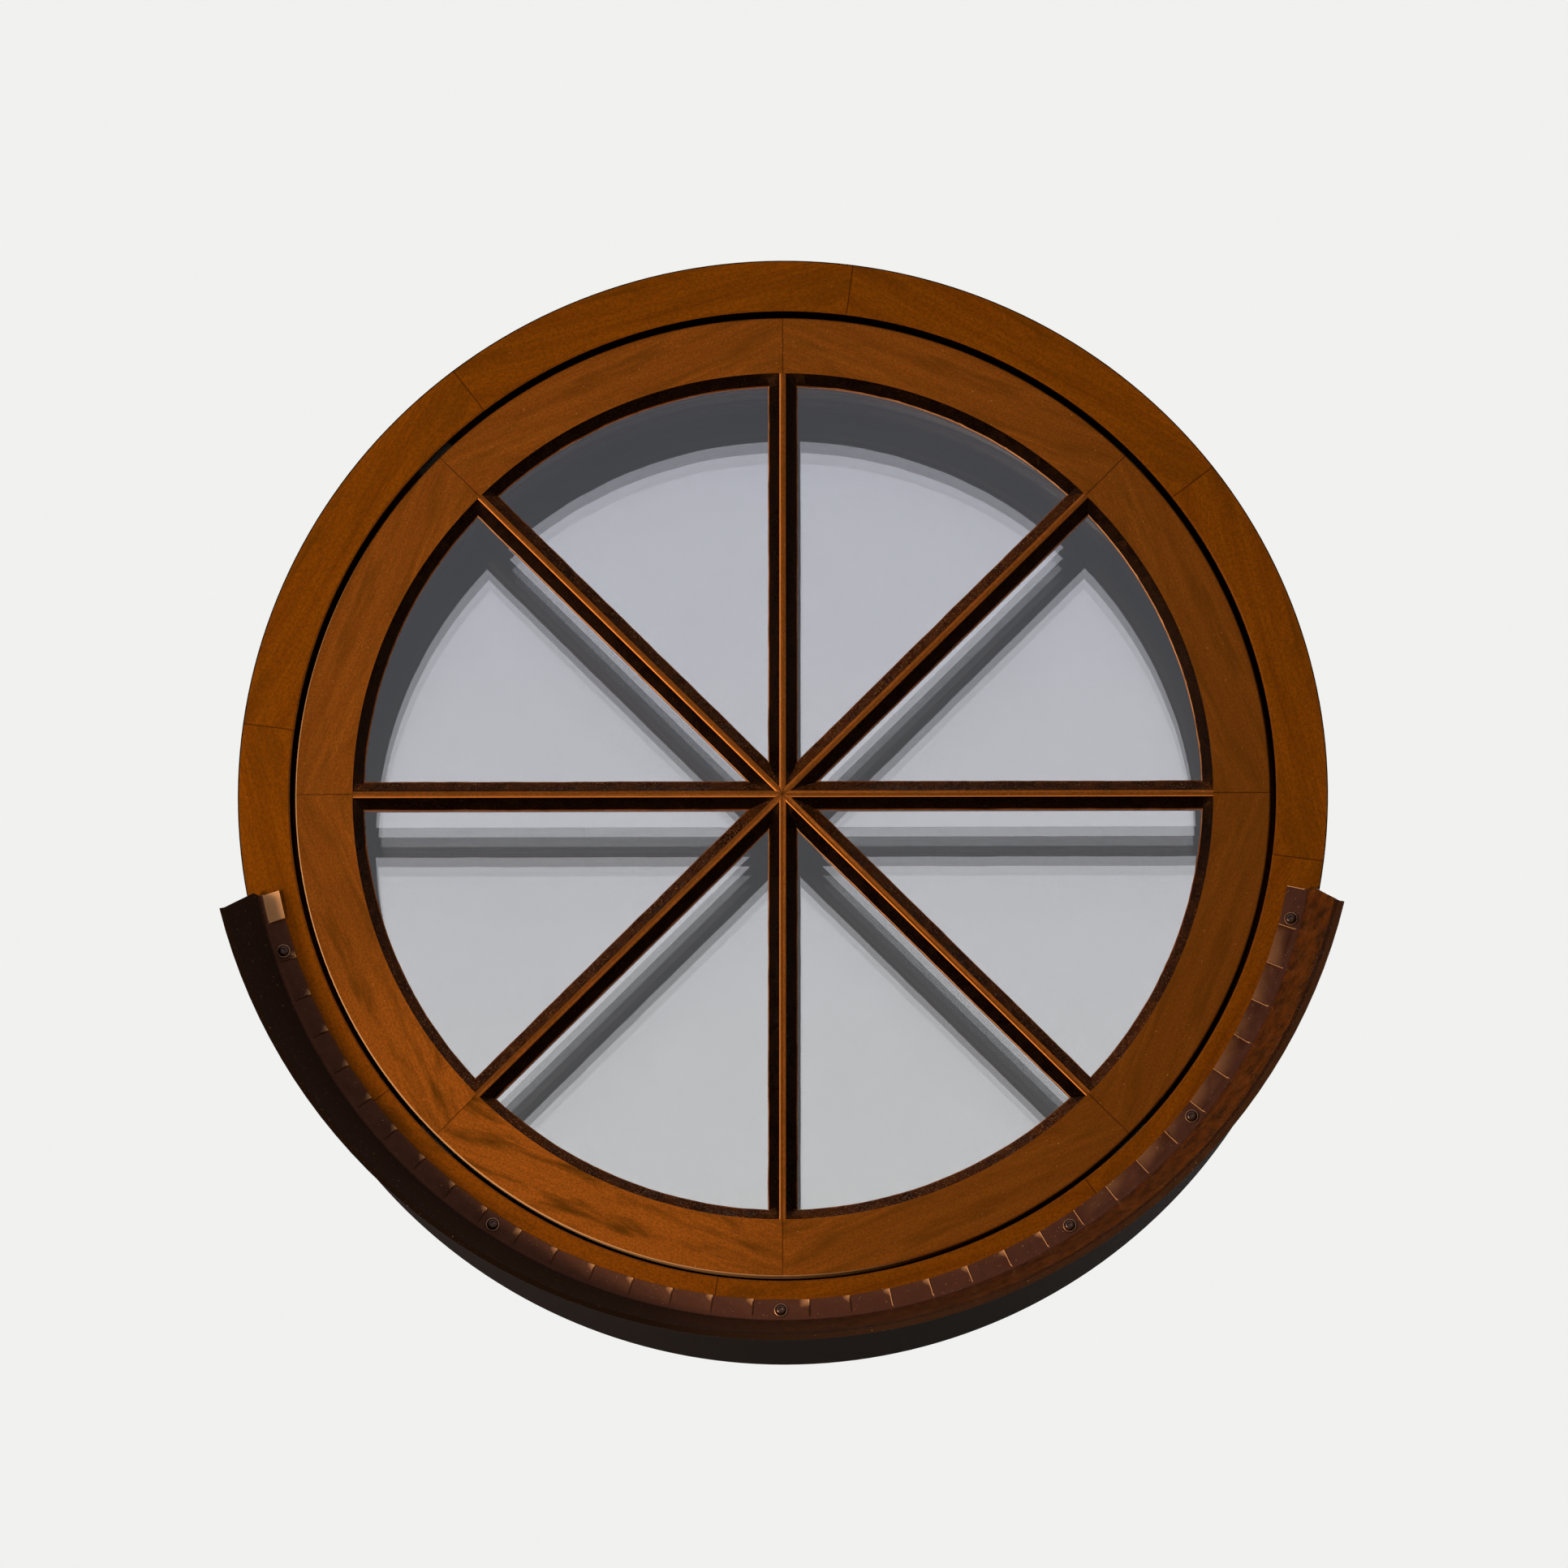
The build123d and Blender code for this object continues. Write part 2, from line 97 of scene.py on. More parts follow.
def standIn(form, name, node, material, sharpAngle=38, flatArea=1e6):
    # Finishes a modelled piece and puts it in a CAD node's place
    mesh = bpy.data.meshes.new(name)
    form.to_mesh(mesh)
    form.free()
    mesh.set_sharp_from_angle(angle=math.radians(sharpAngle))
    for face in mesh.polygons:
        # Fronts and areas over flatArea, in square millimetres, stay flat beside their eased edges
        face.use_smooth = abs(face.normal.y) < 0.999 and face.area < flatArea * mm * mm
    piece = bpy.data.objects.new(name, mesh)
    bpy.context.scene.collection.objects.link(piece)
    mesh.materials.append(material)
    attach(piece, "root")
    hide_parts(node)
    return piece


def ringRadius(point):
    return math.hypot(point.x, point.z)


# Camera: looks up at the window from below, with a long lens
camera = {
    "azimuth": 0.65,
    "elevation": -10.7,
    "distance": 9.0,
    "lens": 281.6,
    "aim": (0.0010, -0.085, 0.0060),
}
cameraData = bpy.data.cameras.new("streetCamera")
cameraData.sensor_width = 36
cameraData.lens = camera["lens"]
cameraData.clip_end = 100
cameraObject = bpy.data.objects.new("streetCamera", cameraData)
bpy.context.scene.collection.objects.link(cameraObject)
turn, tilt = math.radians(camera["azimuth"]), math.radians(camera["elevation"])
back = Vector((math.sin(turn) * math.cos(tilt), -math.cos(turn) * math.cos(tilt), math.sin(tilt)))
cameraObject.location = Vector(camera["aim"]) + back * camera["distance"]
cameraObject.rotation_mode = "QUATERNION"
cameraObject.rotation_quaternion = (-back).to_track_quat("-Z", "Y")
bpy.context.scene.camera = cameraObject
bpy.context.scene.view_settings.view_transform = "Standard"
bpy.context.scene.cycles.transparent_max_bounces = 32  # four sheets of glass, passed twice
bpy.context.scene.cycles.caustics_reflective = False
print("camera ready")


# Sky dome, floor and lamps
stageLook = {
    "backdrop": "#f1f1ef",
    "floor": "#dcdad6",
    "floorHeight": -2.6,
    "lowSky": "#fffffc",  # near the horizon, as the glass mirrors it
    "highSky": "#e7e9fa",
    "lowSkyTo": 0.13, "highSkyFrom": 0.235,  # heights on a dome of radius 1
    "fill": 0.37,
}


def buildWorld():
    world = bpy.data.worlds.new("paleStudio")
    bpy.context.scene.world = world
    world.use_nodes = True
    tree = world.node_tree
    tree.nodes.clear()
    where = addNode(tree, "ShaderNodeTexCoord").outputs["Generated"]
    height = addNode(tree, "ShaderNodeSeparateXYZ", {"Vector": where}).outputs["Z"]
    share = addNode(tree, "ShaderNodeMapRange", {
        "Value": height, "From Min": stageLook["lowSkyTo"], "From Max": stageLook["highSkyFrom"],
    }).outputs[0]
    sky = addNode(tree, "ShaderNodeMix", {
        "Factor": share, 6: linearColour(stageLook["lowSky"]), 7: linearColour(stageLook["highSky"]),
    }, data_type="RGBA").outputs[2]
    path = addNode(tree, "ShaderNodeLightPath").outputs
    mirrored = addNode(tree, "ShaderNodeMix", {
        "Factor": path["Is Camera Ray"], 6: sky, 7: linearColour(stageLook["backdrop"]),
    }, data_type="RGBA").outputs[2]
    seen = addNode(tree, "ShaderNodeMath", {
        0: path["Is Camera Ray"], 1: path["Is Glossy Ray"],
    }, operation="MAXIMUM").outputs[0]
    seen = addNode(tree, "ShaderNodeMath", {
        0: seen, 1: path["Is Transmission Ray"],
    }, operation="MAXIMUM").outputs[0]
    ambient = addNode(tree, "ShaderNodeBackground", {
        "Color": (1.0, 0.985, 0.96, 1.0), "Strength": stageLook["fill"],
    })
    shown = addNode(tree, "ShaderNodeBackground", {"Color": mirrored, "Strength": 1.0})
    both = addNode(tree, "ShaderNodeMixShader", {
        "Fac": seen, 1: ambient.outputs[0], 2: shown.outputs[0],
    })
    addNode(tree, "ShaderNodeOutputWorld", {"Surface": both.outputs[0]})


def buildFloor():
    mesh = bpy.data.meshes.new("studioFloor")
    form = bmesh.new()
    bmesh.ops.create_grid(form, x_segments=1, y_segments=1, size=12,
                          matrix=Matrix.Translation((0, 0, stageLook["floorHeight"])))
    form.to_mesh(mesh)
    form.free()
    floor = bpy.data.objects.new("studioFloor", mesh)
    bpy.context.scene.collection.objects.link(floor)
    material, tree = newMaterial("paleFloorPaint")
    where = addNode(tree, "ShaderNodeTexCoord").outputs["Object"]
    mottle = addNode(tree, "ShaderNodeTexNoise", {"Vector": where, "Scale": 3.0, "Detail": 4.0})
    rough = addNode(tree, "ShaderNodeMapRange", {"Value": mottle.outputs[0], "To Min": 0.75, "To Max": 0.9})
    surface = addNode(tree, "ShaderNodeBsdfPrincipled", {
        "Base Color": linearColour(stageLook["floor"]), "Roughness": rough.outputs["Result"],
    })
    addNode(tree, "ShaderNodeOutputMaterial", {"Surface": surface.outputs[0]})
    dress(floor, material)


lamps = {
    "lowLeftKey": {"at": (-1.15, -2.2, -0.68), "size": 0.25, "watts": 42, "colour": "#ffe6c8"},
    "leftEdge": {"at": (-1.9, -0.6, -0.5), "size": 0.35, "watts": 10, "colour": "#ffd9b5"},
    "topFill": {"at": (0.8, -3.8, 3.0), "size": 3.0, "watts": 6, "colour": "#eef3ff"},
    "roomFill": {"at": (1.5, 3.5, 1.5), "size": 2.5, "watts": 60, "colour": "#ffffff"},
}


def buildLamps():
    for name, lamp in lamps.items():
        data = bpy.data.lights.new(name, "AREA")
        data.size = lamp["size"]
        data.energy = lamp["watts"]
        data.color = linearColour(lamp["colour"])[:3]
        light = bpy.data.objects.new(name, data)
        bpy.context.scene.collection.objects.link(light)
        light.location = lamp["at"]
        light.rotation_mode = "QUATERNION"
        light.rotation_quaternion = (-Vector(lamp["at"])).to_track_quat("-Z", "Y")


buildWorld()
buildFloor()
buildLamps()
print("stage and lamps ready")


# Brush-painted timber: long streaks and grain along each glued segment, with a hairline at its joints
frameTimber = {
    "paint": "#743a04", "worn": "#8a4a06", "shade": "#442502", "sheen": "#e08432",
    "streakWidth": 1.1, "streakLength": 70, "grainWidth": 8, "grainLength": 240,
    "stainWidth": 13, "stainLength": 65, "stain": "#3f2603", "stainShare": 0.42, "peelSize": 1.3, "peel": 0.5,
    "speckSize": 1.7, "speck": "#b87f48", "bump": 0.3, "roughLow": 0.26, "roughHigh": 0.42, "gloss": 0.15,
    "backing": "#080605", "backingFrom": 399.2,  # radius in millimetres
}
# Direction towards the light at the lower left, and the range of facing over which the rings are painted
# lighter as lit
litSide, litFrom, litFull = (-0.54, 0.0, -0.84), 0.72, 0.98
# Direction of the side that is painted darker as shade
shadedSide = (0.97, 0.0, -0.23)
# Direction of the arris that gets a painted highlight
arrisHighlightSide = (-0.8, 0.0, -0.6)
highlightSide = (-0.61, -0.62, -0.5)  # edges that face it get a painted highlight
# The frame, painted lighter at its lower left as lit, with its rebate wall beside the sash painted near black
# as shade; the rebate's radius and depths are given here in millimetres
outerTimber = {**frameTimber, "litTone": "#8c480a", "litToneShare": 0.75,
               "rebateShade": "#070402", "rebateRadius": 363.0, "rebateFrom": -83.7, "rebateTo": -34.0}
# The sash: its lower left is painted lighter as lit, its right painted darker as shade, its arris carries a
# painted highlight, and behind the glass it is painted near black as shade
sashTimber = {**frameTimber, "paint": "#7c4111", "worn": "#925118", "shade": "#4b2b08",
              "litTone": "#a85a1a", "litToneShare": 0.85, "rightShadeShare": 0.42,
              "arris": "#ffc48a", "arrisWidth": 0.85, "inside": "#120b07"}
# The bars: edges that face the lower left carry a painted highlight, and behind the glass they are painted near
# black as shade
barTimber = {**frameTimber, "paint": "#804318", "worn": "#a5622a", "roughLow": 0.16, "roughHigh": 0.28,
             "gloss": 0.5, "bump": 0.5, "inside": "#120b07", "paintedLight": "#ff9b4a", "pit": 2.2}
beadTimber = {**frameTimber, "paint": "#6e4318", "worn": "#7f5222", "shade": "#523009", "sheen": "#ffffff"}
hairline = {"half": 0.25, "soft": 0.4, "depth": 0.42, "colour": "#1d0f05"}


def paintedTimber(name, look, middle, halfSpan=22.5):
    # Satin oil paint laid on with a brush, so it shows fine ridges along the timber and sinks over the grain.
    # It holds amber oil, so even its shine is warm.
    material, tree = newMaterial(name)
    where = addNode(tree, "ShaderNodeTexCoord").outputs["Object"]
    turned = addNode(tree, "ShaderNodeMapping", {
        "Vector": where, "Rotation": (0, math.radians(middle), 0),
    }).outputs[0]

    def streaks(width, length, detail):
        scale = (1 / (width * mm), 1 / (width * mm), 1 / (length * mm))
        fitted = addNode(tree, "ShaderNodeMapping", {"Vector": turned, "Scale": scale}).outputs[0]
        return addNode(tree, "ShaderNodeTexNoise", {
            "Vector": fitted, "Scale": 1.0, "Detail": detail, "Roughness": 0.6, "Distortion": 0.3,
        }).outputs["Fac"]

    brush = streaks(look["streakWidth"], look["streakLength"], 3.0)
    grain = streaks(look["grainWidth"], look["grainLength"], 4.0)
    stain = streaks(look["stainWidth"], look["stainLength"], 5.0)
    peel = streaks(look["peelSize"], look["peelSize"] * 1.4, 2.0)
    fleck = addNode(tree, "ShaderNodeTexNoise", {
        "Vector": where, "Scale": 1 / (look["speckSize"] * mm), "Detail": 1.0,
    }).outputs[0]

    grainShare = addNode(tree, "ShaderNodeMapRange", {
        "Value": grain, "From Min": 0.35, "From Max": 0.68, "To Max": 0.75,
    }).outputs[0]
    body = addNode(tree, "ShaderNodeMix", {
        "Factor": grainShare, 6: linearColour(look["paint"]), 7: linearColour(look["worn"]),
    }, data_type="RGBA").outputs[2]
    radius = offAxis(tree, where, "LENGTH")
    depth = addNode(tree, "ShaderNodeSeparateXYZ", {"Vector": where}).outputs["Y"]
    stainMost = look["stainShare"]
    if "litTone" in look:
        # The lower left of the rings is painted lighter, as light from the lower left falls there, and their
        # real stains show more there
        lowerLeftLight = addNode(tree, "ShaderNodeVectorMath", {
            0: offAxis(tree, where, "NORMALIZE"), 1: litSide,
        }, operation="DOT_PRODUCT").outputs["Value"]
        stainMost = addNode(tree, "ShaderNodeMapRange", {
            "Value": lowerLeftLight, "From Min": litFrom, "From Max": litFull, "To Min": look["stainShare"],
            "To Max": look["litToneShare"],
        }).outputs[0]
        lowerLeftLight = addNode(tree, "ShaderNodeMapRange", {
            "Value": lowerLeftLight, "From Min": litFrom, "From Max": litFull, "To Max": look["litToneShare"],
        }, interpolation_type="SMOOTHSTEP").outputs[0]
        body = addNode(tree, "ShaderNodeMix", {
            "Factor": lowerLeftLight, 6: body, 7: linearColour(look["litTone"]),
        }, data_type="RGBA").outputs[2]
    if "rightShadeShare" in look:
        # The right side of the ring is painted darker, as shade away from the light at the lower left
        rightShade = addNode(tree, "ShaderNodeVectorMath", {
            0: offAxis(tree, where, "NORMALIZE"), 1: shadedSide,
        }, operation="DOT_PRODUCT").outputs["Value"]
        rightShade = addNode(tree, "ShaderNodeMapRange", {
            "Value": rightShade, "From Min": 0.2, "From Max": 1.0, "To Max": look["rightShadeShare"],
        }).outputs[0]
        body = addNode(tree, "ShaderNodeMix", {
            "Factor": rightShade, 6: body, 7: linearColour(look["shade"]),
        }, data_type="RGBA").outputs[2]
    stainShare = addNode(tree, "ShaderNodeMapRange", {
        "Value": stain, "From Min": 0.5, "From Max": 0.68, "To Max": stainMost,
    }).outputs[0]
    body = addNode(tree, "ShaderNodeMix", {
        "Factor": stainShare, 6: body, 7: linearColour(look["stain"]),
    }, data_type="RGBA").outputs[2]
    streakShare = addNode(tree, "ShaderNodeMapRange", {
        "Value": brush, "From Min": 0.3, "From Max": 0.7, "To Min": 0.30, "To Max": 0.0,
    }).outputs[0]
    body = addNode(tree, "ShaderNodeMix", {
        "Factor": streakShare, 6: body, 7: linearColour(look["shade"]),
    }, data_type="RGBA").outputs[2]

    # The fine peel of the paint, and grit that dried in it
    peelShare = addNode(tree, "ShaderNodeMapRange", {
        "Value": peel, "From Min": 0.35, "From Max": 0.62, "To Min": look["peel"], "To Max": 0.0,
    }).outputs[0]
    body = addNode(tree, "ShaderNodeMix", {
        "Factor": peelShare, 6: body, 7: linearColour(look["shade"]),
    }, data_type="RGBA").outputs[2]
    speckShare = addNode(tree, "ShaderNodeMapRange", {
        "Value": fleck, "From Min": 0.77, "From Max": 0.8, "To Max": 0.7,
    }).outputs[0]
    body = addNode(tree, "ShaderNodeMix", {
        "Factor": speckShare, 6: body, 7: linearColour(look["speck"]),
    }, data_type="RGBA").outputs[2]

    # Distance in metres from the joint at either end of the segment
    parts = addNode(tree, "ShaderNodeSeparateXYZ", {"Vector": turned}).outputs
    beside = addNode(tree, "ShaderNodeMath", {0: parts["Z"]}, operation="ABSOLUTE").outputs[0]
    beside = addNode(tree, "ShaderNodeMath", {
        0: beside, 1: math.cos(math.radians(halfSpan)),
    }, operation="MULTIPLY").outputs[0]
    along = addNode(tree, "ShaderNodeMath", {
        0: parts["X"], 1: math.sin(math.radians(halfSpan)),
    }, operation="MULTIPLY").outputs[0]
    gap = addNode(tree, "ShaderNodeMath", {0: along, 1: beside}, operation="SUBTRACT").outputs[0]
    start, end = hairline["half"] * mm, (hairline["half"] + hairline["soft"]) * mm
    line = addNode(tree, "ShaderNodeMapRange", {
        "Value": gap, "From Min": start, "From Max": end, "To Min": hairline["depth"], "To Max": 0.0,
    }, interpolation_type="SMOOTHSTEP").outputs[0]
    body = addNode(tree, "ShaderNodeMix", {
        "Factor": line, 6: body, 7: linearColour(hairline["colour"]),
    }, data_type="RGBA").outputs[2]

    rough = addNode(tree, "ShaderNodeMapRange", {
        "Value": stain, "From Min": 0.35, "From Max": 0.7, "To Min": look["roughLow"],
        "To Max": look["roughHigh"],
    }).outputs[0]
    height = addNode(tree, "ShaderNodeMath", {0: brush, 1: grain}, operation="ADD").outputs[0]
    height = addNode(tree, "ShaderNodeMath", {0: height, 1: peel}, operation="ADD").outputs[0]
    height = addNode(tree, "ShaderNodeMath", {0: height, 1: line}, operation="SUBTRACT").outputs[0]
    bump = addNode(tree, "ShaderNodeBump", {
        "Height": height, "Strength": look["bump"], "Distance": 0.4 * mm,
    }).outputs[0]

    if "arris" in look:
        # The sash's outer arris gets a painted highlight, brightest at the lower left
        width = look["arrisWidth"] * mm
        edge = addNode(tree, "ShaderNodeMapRange", {
            "Value": radius, "From Min": sashOutside - width, "From Max": sashOutside - width * 0.75,
            "To Max": 0.9,
        }).outputs[0]
        side = addNode(tree, "ShaderNodeVectorMath", {
            0: where, 1: arrisHighlightSide,
        }, operation="DOT_PRODUCT").outputs["Value"]
        side = addNode(tree, "ShaderNodeMapRange", {
            "Value": side, "From Min": sashOutside * 0.35, "From Max": sashOutside * 0.92,
        }).outputs[0]
        edge = addNode(tree, "ShaderNodeMath", {0: edge, 1: side}, operation="MULTIPLY").outputs[0]
        body = addNode(tree, "ShaderNodeMix", {
            "Factor": edge, 6: body, 7: linearColour(look["arris"]),
        }, data_type="RGBA").outputs[2]

    if "paintedLight" in look:
        # Round edges that face the lower left get a painted highlight, and the middle of the hub is painted
        # near black
        facing = addNode(tree, "ShaderNodeNewGeometry").outputs["Normal"]
        facing = addNode(tree, "ShaderNodeVectorMath", {
            0: facing, 1: highlightSide,
        }, operation="DOT_PRODUCT").outputs["Value"]
        edge = addNode(tree, "ShaderNodeMapRange", {
            "Value": facing, "From Min": 0.7, "From Max": 0.86, "To Max": 0.9,
        }).outputs[0]
        body = addNode(tree, "ShaderNodeMix", {
            "Factor": edge, 6: body, 7: linearColour(look["paintedLight"]),
        }, data_type="RGBA").outputs[2]
        hubDark = addNode(tree, "ShaderNodeMapRange", {
            "Value": radius, "From Min": look["pit"] * mm, "From Max": 0.3 * mm, "To Max": 0.8,
        }).outputs[0]
        body = addNode(tree, "ShaderNodeMix", {
            "Factor": hubDark, 6: body, 7: linearColour(look["inside"]),
        }, data_type="RGBA").outputs[2]

    if "rebateShade" in look:
        # The wall of the rebate, from just behind the frame's face to where the sash ends, is painted near
        # black as shade in the gap
        wall = addNode(tree, "ShaderNodeMapRange", {
            "Value": depth, "From Min": look["rebateFrom"] * mm, "From Max": (look["rebateFrom"] + 0.4) * mm,
        }).outputs[0]
        near = addNode(tree, "ShaderNodeMath", {
            0: radius, 1: look["rebateRadius"] * mm,
        }, operation="LESS_THAN").outputs[0]
        ahead = addNode(tree, "ShaderNodeMath", {
            0: depth, 1: look["rebateTo"] * mm,
        }, operation="LESS_THAN").outputs[0]
        wall = addNode(tree, "ShaderNodeMath", {0: wall, 1: near}, operation="MULTIPLY").outputs[0]
        wall = addNode(tree, "ShaderNodeMath", {0: wall, 1: ahead}, operation="MULTIPLY").outputs[0]
        body = addNode(tree, "ShaderNodeMix", {
            "Factor": wall, 6: body, 7: linearColour(look["rebateShade"]),
        }, data_type="RGBA").outputs[2]

    # Dull black on the round back of the frame, which is out of sight once it is built in: a dark back coat,
    # and painted shade behind the frame
    hidden = addNode(tree, "ShaderNodeMath", {
        0: radius, 1: look["backingFrom"] * mm,
    }, operation="GREATER_THAN").outputs[0]
    body = addNode(tree, "ShaderNodeMix", {
        "Factor": hidden, 6: body, 7: linearColour(look["backing"]),
    }, data_type="RGBA").outputs[2]
    if "inside" in look:
        # Behind the outer glass the timber is painted near black, as shade in the cavity
        inside = addNode(tree, "ShaderNodeMath", {0: depth, 1: glassBack}, operation="GREATER_THAN").outputs[0]
        body = addNode(tree, "ShaderNodeMix", {
            "Factor": inside, 6: body, 7: linearColour(look["inside"]),
        }, data_type="RGBA").outputs[2]
        hidden = addNode(tree, "ShaderNodeMath", {0: hidden, 1: inside}, operation="MAXIMUM").outputs[0]
    rough = addNode(tree, "ShaderNodeMath", {0: rough, 1: hidden}, operation="MAXIMUM").outputs[0]
    surface = addNode(tree, "ShaderNodeBsdfPrincipled", {
        "Base Color": body, "Roughness": rough, "Normal": bump, "IOR": 1.5,
        "Specular IOR Level": look["gloss"], "Specular Tint": linearColour(look["sheen"]),
    })
    addNode(tree, "ShaderNodeOutputMaterial", {"Surface": surface.outputs[0]})
    return material


def easeEdges(form, edges, offset, steps):
    bmesh.ops.bevel(form, geom=edges, offset=offset * mm, offset_type="OFFSET", segments=steps, profile=0.5,
                    affect="EDGES", material=-1)


def cutAcross(form, pieces, place, square):
    bmesh.ops.bisect_plane(form, geom=pieces, dist=0.001 * mm, plane_co=place, plane_no=square)


barLook = {"noseRound": 0.95, "roundSteps": 3, "longEdge": 60, "flatArea": 500}
sashLook = {"arrisRound": 0.5, "roundSteps": 2}


def roundedBar(k, material):
    # Noses are rubbed round with sandpaper before painting, so they carry a fine line of light
    node = f"glazing_bar_{k}"
    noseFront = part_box(node)[0][1]
    form = mergedCopy(node)
    noseEdges = [
        edge for edge in form.edges
        if edge.calc_length() > barLook["longEdge"] * mm
        and all(abs(vert.co.y - noseFront) < 0.02 * mm for vert in edge.verts)
    ]
    easeEdges(form, noseEdges, barLook["noseRound"], barLook["roundSteps"])
    standIn(form, f"roundedBar{k}", node, material, flatArea=barLook["flatArea"])


def roundedSash(k, material):
    # The arris next to the open joint is eased, so its edge shines
    node = f"sash_segment_{k}"
    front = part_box(node)[0][1]
    form = mergedCopy(node)
    outside = max(ringRadius(vert.co) for vert in form.verts)
    arrisEdges = []
    for edge in form.edges:
        first, second = edge.verts
        level = abs(first.co.y - second.co.y) < 0.02 * mm
        around = abs(ringRadius(first.co) - ringRadius(second.co)) < 0.05 * mm
        nearFront = first.co.y < front + 1.5 * mm
        nearOutside = ringRadius(first.co) > outside - 1.5 * mm
        if level and around and nearFront and nearOutside:
            arrisEdges.append(edge)
    easeEdges(form, arrisEdges, sashLook["arrisRound"], sashLook["roundSteps"])
    standIn(form, f"roundedSash{k}", node, material)


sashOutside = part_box("sash_segment_1")[1][0]  # the first segment starts level with the hub, at the right
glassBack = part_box("pane_1")[1][1]
segmentSpan = 45
frameStart = -7.5  # the frame's joints lie this far from the bars, in degrees
for k in range(1, 9):
    sashMiddle = (k - 0.5) * segmentSpan
    frameMiddle = frameStart + sashMiddle
    frameFinish = paintedTimber(f"olivePaintedTimber{k}", outerTimber, frameMiddle)
    dress(f"frame_segment_{k}", frameFinish)
    roundedSash(k, paintedTimber(f"brownPaintedTimber{k}", sashTimber, sashMiddle))
    # A bar's grain runs out along the bar, so its streaks turn a right angle
    roundedBar(k, paintedTimber(f"brownPaintedBar{k}", barTimber, (k - 1) * segmentSpan + 90, 90))
for k in range(1, 5):
    bead = paintedTimber(f"paintedBead{k}", beadTimber, k * 90, 45)
    dress(f"glazing_bead_{k}", bead)
print("timber painted")


def plainFinish(name, colour, other, roughLow, roughHigh, grit, metallic=0.0, bump=0.1):
    # Small hidden parts: an even finish with a little mottle at the size of its grit, in millimetres
    material, tree = newMaterial(name)
    where = addNode(tree, "ShaderNodeTexCoord").outputs["Object"]
    speck = addNode(tree, "ShaderNodeTexNoise", {
        "Vector": where, "Scale": 1 / (grit * mm), "Detail": 4.0,
    }).outputs[0]
    body = addNode(tree, "ShaderNodeMix", {
        "Factor": speck, 6: linearColour(colour), 7: linearColour(other),
    }, data_type="RGBA").outputs[2]
    rough = addNode(tree, "ShaderNodeMapRange", {
        "Value": speck, "To Min": roughLow, "To Max": roughHigh,
    }).outputs["Result"]
    normal = addNode(tree, "ShaderNodeBump", {
        "Height": speck, "Strength": bump, "Distance": 0.1 * mm,
    }).outputs[0]
    surface = addNode(tree, "ShaderNodeBsdfPrincipled", {
        "Base Color": body, "Roughness": rough, "Normal": normal, "Metallic": metallic,
    })
    addNode(tree, "ShaderNodeOutputMaterial", {"Surface": surface.outputs[0]})
    return material


hiddenFinishes = {
    "butylSealant": (("#101010", "#1b1a1a", 0.5, 0.7, 3.0), ["unit_edge_seal"], "edge_sealant"),
    "foamTape": (("#1a1a1b", "#262626", 0.8, 0.95, 0.8), ["bedding_tape"], "foam_tape"),
    "nylonPacker": (("#3d3f42", "#4a4c4f", 0.4, 0.6, 2.0), ["setting_blocks", "sash_packers"], "block_plastic"),
    "extrudedRubber": (("#161412", "#211f1c", 0.55, 0.75, 1.5), ["sash_seal"], "seal_rubber"),
}
for name, (look, members, slot) in hiddenFinishes.items():
    finish = plainFinish(name, *look)
    for member in members:
        dress(member, finish)
zinc = plainFinish("zincPlatedSteel", "#9a9a94", "#b3b1a8", 0.25, 0.45, 0.6, metallic=1.0)
for member in ("sash_screws", "glazing_points", "bead_pins"):
    dress(member, zinc)
spacer = plainFinish("millAluminium", "#9c9da0", "#a9aaad", 0.3, 0.42, 0.4, metallic=1.0)
for member in ("unit_outer_spacer", "unit_inner_spacer"):
    dress(member, spacer)
print("hidden parts finished")


# Putty: run by hand with a knife and painted nearly black, with dust and grit caught on its ledges
puttyLook = {
    "paint": "#050101", "lift": "#0e0502", "dust": "#3c1c07", "grit": "#b98455",
    "edge": "#8f4e1e", "footHighlight": "#ffb070", "sheen": "#f0a060",
    "gritSize": 0.95, "patchSize": 14, "roughLow": 0.15, "roughHigh": 0.5,
    "cutEvery": 9, "wave": 0.32, "waveLength": 16, "ripple": 0.14, "rippleLength": 5,
    "topDrop": 0.8, "edgeLine": 0.75,
}


